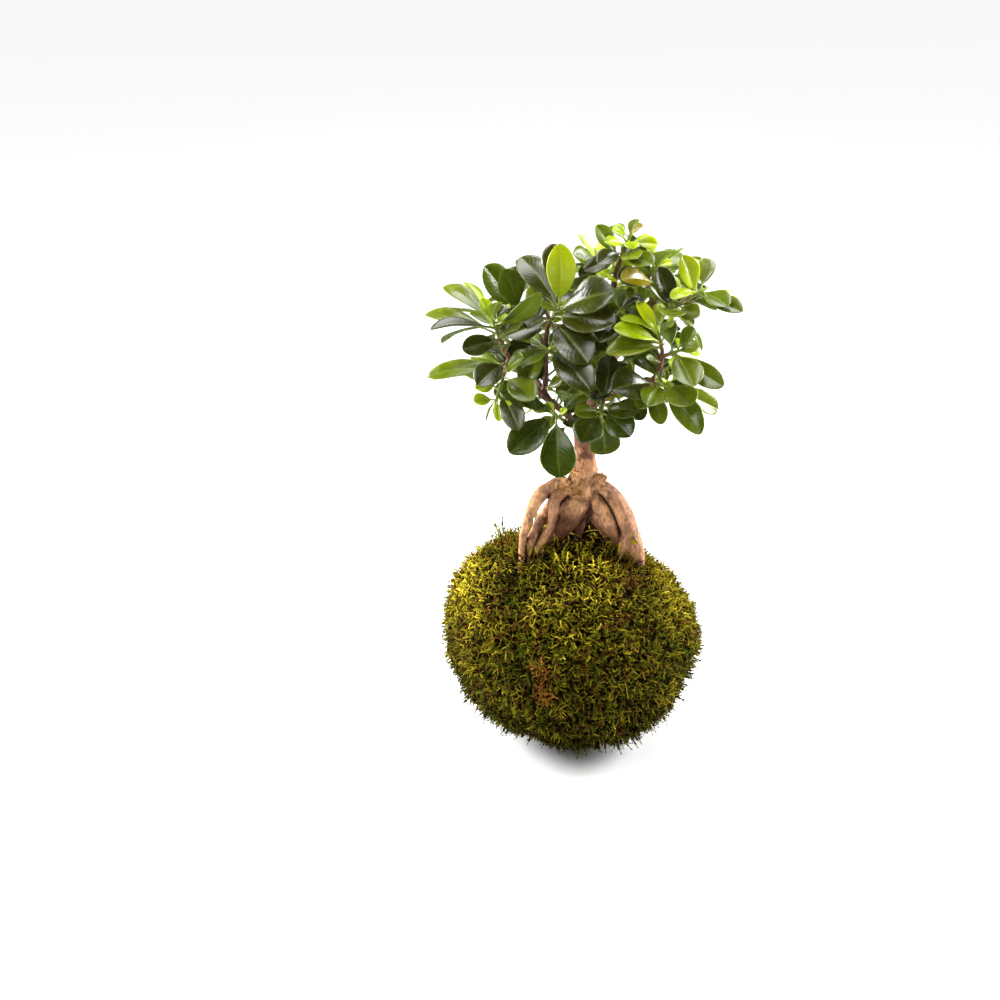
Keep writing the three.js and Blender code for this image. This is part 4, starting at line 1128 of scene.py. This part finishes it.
# The leafy shoot: a thin tube from the branch's end to the bud, brown at its foot and green at its end.
def sprayStem(start, end):
    bud = end + unit(end - start) * 6
    middle, swelling = (start + end) / 2, end + (bud - end) * 0.6
    path = [[*start, 1.4], [*middle, 1.29], [*end, 1.12], [*swelling, 0.9], [*bud, 0.2]]
    shape = limbTube(path, 10, 4, 0.03)
    t = (shape["points"] - start) @ unit(end - start) / np.linalg.norm(end - start)
    tone = blend(shootTones["old"], shootTones["young"], ease(t, 0.2, 0.9)[:, None])
    shape["tone"] = blend(tone, shootTones["bud"], ease(t, 1, 1.2)[:, None])
    shape["map"] = np.zeros((len(t), 2))
    shape["kind"] = np.ones(len(t), int)
    return shape


fillSettings = {
    "cell": 1.1,  # of the lattice that says where leaves already are
    "margin": 4,  # of cells round the crown
    "spacing": 4,  # along a branch
    "lowest": 240,
    "hangFrom": 262,  # height above which leaves hang in front of upright wood
    "length": (15, 30),
    "slimness": (0.42, 0.6),
    "bladeFrom": 0.3,  # what lies nearer the foot may touch its neighbours
    "tries": 22,
}


# A lattice of cells over the crown. mark() fills the cells of some points and the cells next to them,
# and free() tells whether none of some points lies in a filled cell.
def crownLattice():
    cell, margin = fillSettings["cell"], fillSettings["margin"]
    low = np.array(cadBox[0]) / toMetres - margin * cell
    shape = np.ceil((np.array(cadBox[1]) / toMetres - low) / cell).astype(int) + margin
    filled = np.zeros(shape, bool)

    def cells(points):
        return np.clip(((points - low) / cell).astype(int), 1, shape - 2)

    def mark(points):
        middle = cells(points)
        for step in np.ndindex(3, 3, 3):
            filled[tuple((middle + np.array(step) - 1).T)] = True

    def free(points):
        inside = np.all((points > low + margin * cell) & (points < low + (shape - 2 * margin) * cell))
        return bool(inside) and not filled[tuple(cells(points).T)].any()

    return mark, free


# Places for the small leaves that fill the crown: (foot, axis of the wood there, its radius, how far
# along the spray).
def fillSites():
    sites = []
    for path in branches:
        line = smoothPath(path, 8)
        walked = np.cumsum(np.linalg.norm(np.diff(line[:, :3], axis=0, prepend=line[:1, :3]), axis=1))
        for walk in np.arange(fillSettings["spacing"], walked[-1], fillSettings["spacing"]):
            k = int(np.searchsorted(walked, walk))
            if line[k, 2] > fillSettings["lowest"]:
                sites.append((line[k, :3], unit(line[k, :3] - line[k - 1, :3]), line[k, 3], 0.0))
    for start, end, _, _ in sprays.values():
        start, end = np.array([start, end], float)
        for share in (0.2, 0.5, 0.8, 1.0, 1.0):
            sites.append((blend(start, end, share), unit(end - start), 1.0, share))
    return sites


# Leaves grow by turns to the left and the right of the side where the light comes from. At each place it
# is the first of a few tries, each shorter and turned further, that is clear of other leaves and the wood.
# On upright wood the first two tries hang down in front of it.
def makeInnerLeaves(grown):
    rng = np.random.default_rng(53)
    mark, free = crownLattice()
    mark(woodPoints[woodPoints[:, 2] > 215])
    for part in grown:
        mark(part["points"])
    parts = []
    side = 1
    for foot, axis, radius, share in fillSites():
        light = nearLight if foot[1] < 12 else farLight
        square = unit(light - dot(light, axis) * axis)
        around = np.cross(axis, square)
        side = -side
        turn = side * rng.uniform(0.1, 1.4)
        fresh = share > 0.7 or (foot[0] > 12 and foot[2] > 280)
        letter = rng.choice(list("MGYO"), p=[0.1, 0.38, 0.46, 0.06] if fresh else [0.45, 0.42, 0.13, 0])
        longest = rng.uniform(*fillSettings["length"]) * (1 - 0.35 * share)
        slimness = rng.uniform(*fillSettings["slimness"])
        for trial in range(fillSettings["tries"]):
            angle = turn + side * trial * 0.45
            out = square * math.cos(angle) + around * math.sin(angle)
            towards = unit(out + axis * rng.uniform(0.1, 0.9) + [0, 0, 0.15])
            if trial < 2 and axis[2] > 0.5 and foot[2] > fillSettings["hangFrom"]:
                towards = unit(light * [0, 1, -1] + [side * rng.uniform(0.1, 0.5), 0, 0.15])
                out = unit(towards - dot(towards, axis) * axis)
            length = longest * (1 - 0.025 * trial)
            heading = math.degrees(math.atan2(towards[1], towards[0]))
            rise = math.degrees(math.asin(towards[2]))
            row = [0, heading, rise, length, length * slimness, rng.uniform(-25, 25)]
            part = leafShape(foot + out * radius * 0.6, row, light, leafTones[letter], rng)
            blade = part["points"][part["map"][:, 1] > fillSettings["bladeFrom"]]
            if free(blade):
                parts.append(part)
                mark(blade)
                break
    makePiece("inner_leaves", gather(parts), [leafFinish], [])
    print("inner leaves:", len(parts))


def makeSprays():
    rng = np.random.default_rng(19)
    missing = 0
    grown = []
    for name, (start, end, light, rows, tones) in allSprays().items():
        start, end = np.array([start, end], float)
        corners, _, _ = meshArrays(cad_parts[name].data)
        parts = [sprayStem(start, end)]
        for row, letter in zip(rows, tones):
            foot = leafFoot(start, end, row)
            turned = modelledRow(foot, row, corners)
            if turned is None:
                missing += 1
                continue
            parts.append(leafShape(foot, turned, light, leafTones[letter], rng))
        makePiece(name + "_leaves", gather(parts), [leafFinish, twigFinish], [name])
        grown += parts
    print("sprays made,", missing, "rows without a leaf")
    return grown


makeInnerLeaves(makeSprays())

# The soil stays as modelled, with a better finish

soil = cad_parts["soil_ball"]
soil.data.materials.clear()
soil.data.materials.append(soilMaterial())


# Floor and light

def makeStudio():
    reach = 20
    mesh = bpy.data.meshes.new("floor")
    corners = [(-reach, -reach, 0), (reach, -reach, 0), (reach, reach, 0), (-reach, reach, 0)]
    mesh.from_pydata(corners, [], [(0, 1, 2, 3)])
    floor = bpy.data.objects.new("floor", mesh)
    bpy.context.scene.collection.objects.link(floor)
    pale = (0.95, 0.95, 0.95, 1)
    material, _, _ = newMaterial("paleFloor", Base_Color=pale, Roughness=0.9, Specular_IOR_Level=0.1)
    mesh.materials.append(material)
    floor.visible_glossy = False
    world = bpy.data.worlds.new("studio")
    world.use_nodes = True
    background = world.node_tree.nodes["Background"]
    background.inputs["Color"].default_value = (1, 1, 1, 1)
    # Seen directly it is as bright as the floor, and its light is faint.
    seen = world.node_tree.nodes.new("ShaderNodeLightPath").outputs["Is Camera Ray"]
    strength = world.node_tree.nodes.new("ShaderNodeMapRange")
    strength.inputs["To Min"].default_value = 0.12
    strength.inputs["To Max"].default_value = 0.92
    world.node_tree.links.new(seen, strength.inputs["Value"])
    world.node_tree.links.new(strength.outputs["Result"], background.inputs["Strength"])
    world.cycles_visibility.glossy = False
    bpy.context.scene.world = world


# Turns a lamp so that it shines from a place, in metres, to the middle of the plant.
def placeLamp(lamp, place):
    box = bpy.data.objects.new(lamp.name, lamp)
    box.location = place
    towards = Vector((0, 0, 0.2)) - Vector(place)
    box.rotation_euler = towards.to_track_quat("-Z", "Y").to_euler()
    bpy.context.scene.collection.objects.link(box)
    return box


# A square lamp. One without gloss isn't mirrored in the leaves, and one without fill is only mirrored.
def softbox(name, place, size, power, gloss=True, fill=True):
    lamp = bpy.data.lights.new(name, "AREA")
    lamp.size = size
    lamp.energy = power
    box = placeLamp(lamp, place)
    box.visible_glossy = gloss
    box.visible_diffuse = fill


# Light that falls on the whole floor alike, from a disc that is this many degrees across.
def skylight(name, place, spread, strength):
    lamp = bpy.data.lights.new(name, "SUN")
    lamp.angle = math.radians(spread)
    lamp.energy = strength
    placeLamp(lamp, place)


makeStudio()
skylight("above", (0.15, 0.7, 1.6), 40, 3.1)
softbox("key", (-0.5, -0.85, 1.05), 0.5, 3.5, gloss=False)
softbox("sheen", (-0.35, -0.7, 1.25), 0.6, 6.5, fill=False)
softbox("overhead", (-0.12, -0.15, 1.25), 0.35, 5)
softbox("rimLeft", (-1.0, 0.25, 0.55), 0.5, 31)
softbox("rimRight", (1.0, 0.25, 0.55), 0.5, 27)
bpy.context.scene.view_settings.view_transform = "Standard"
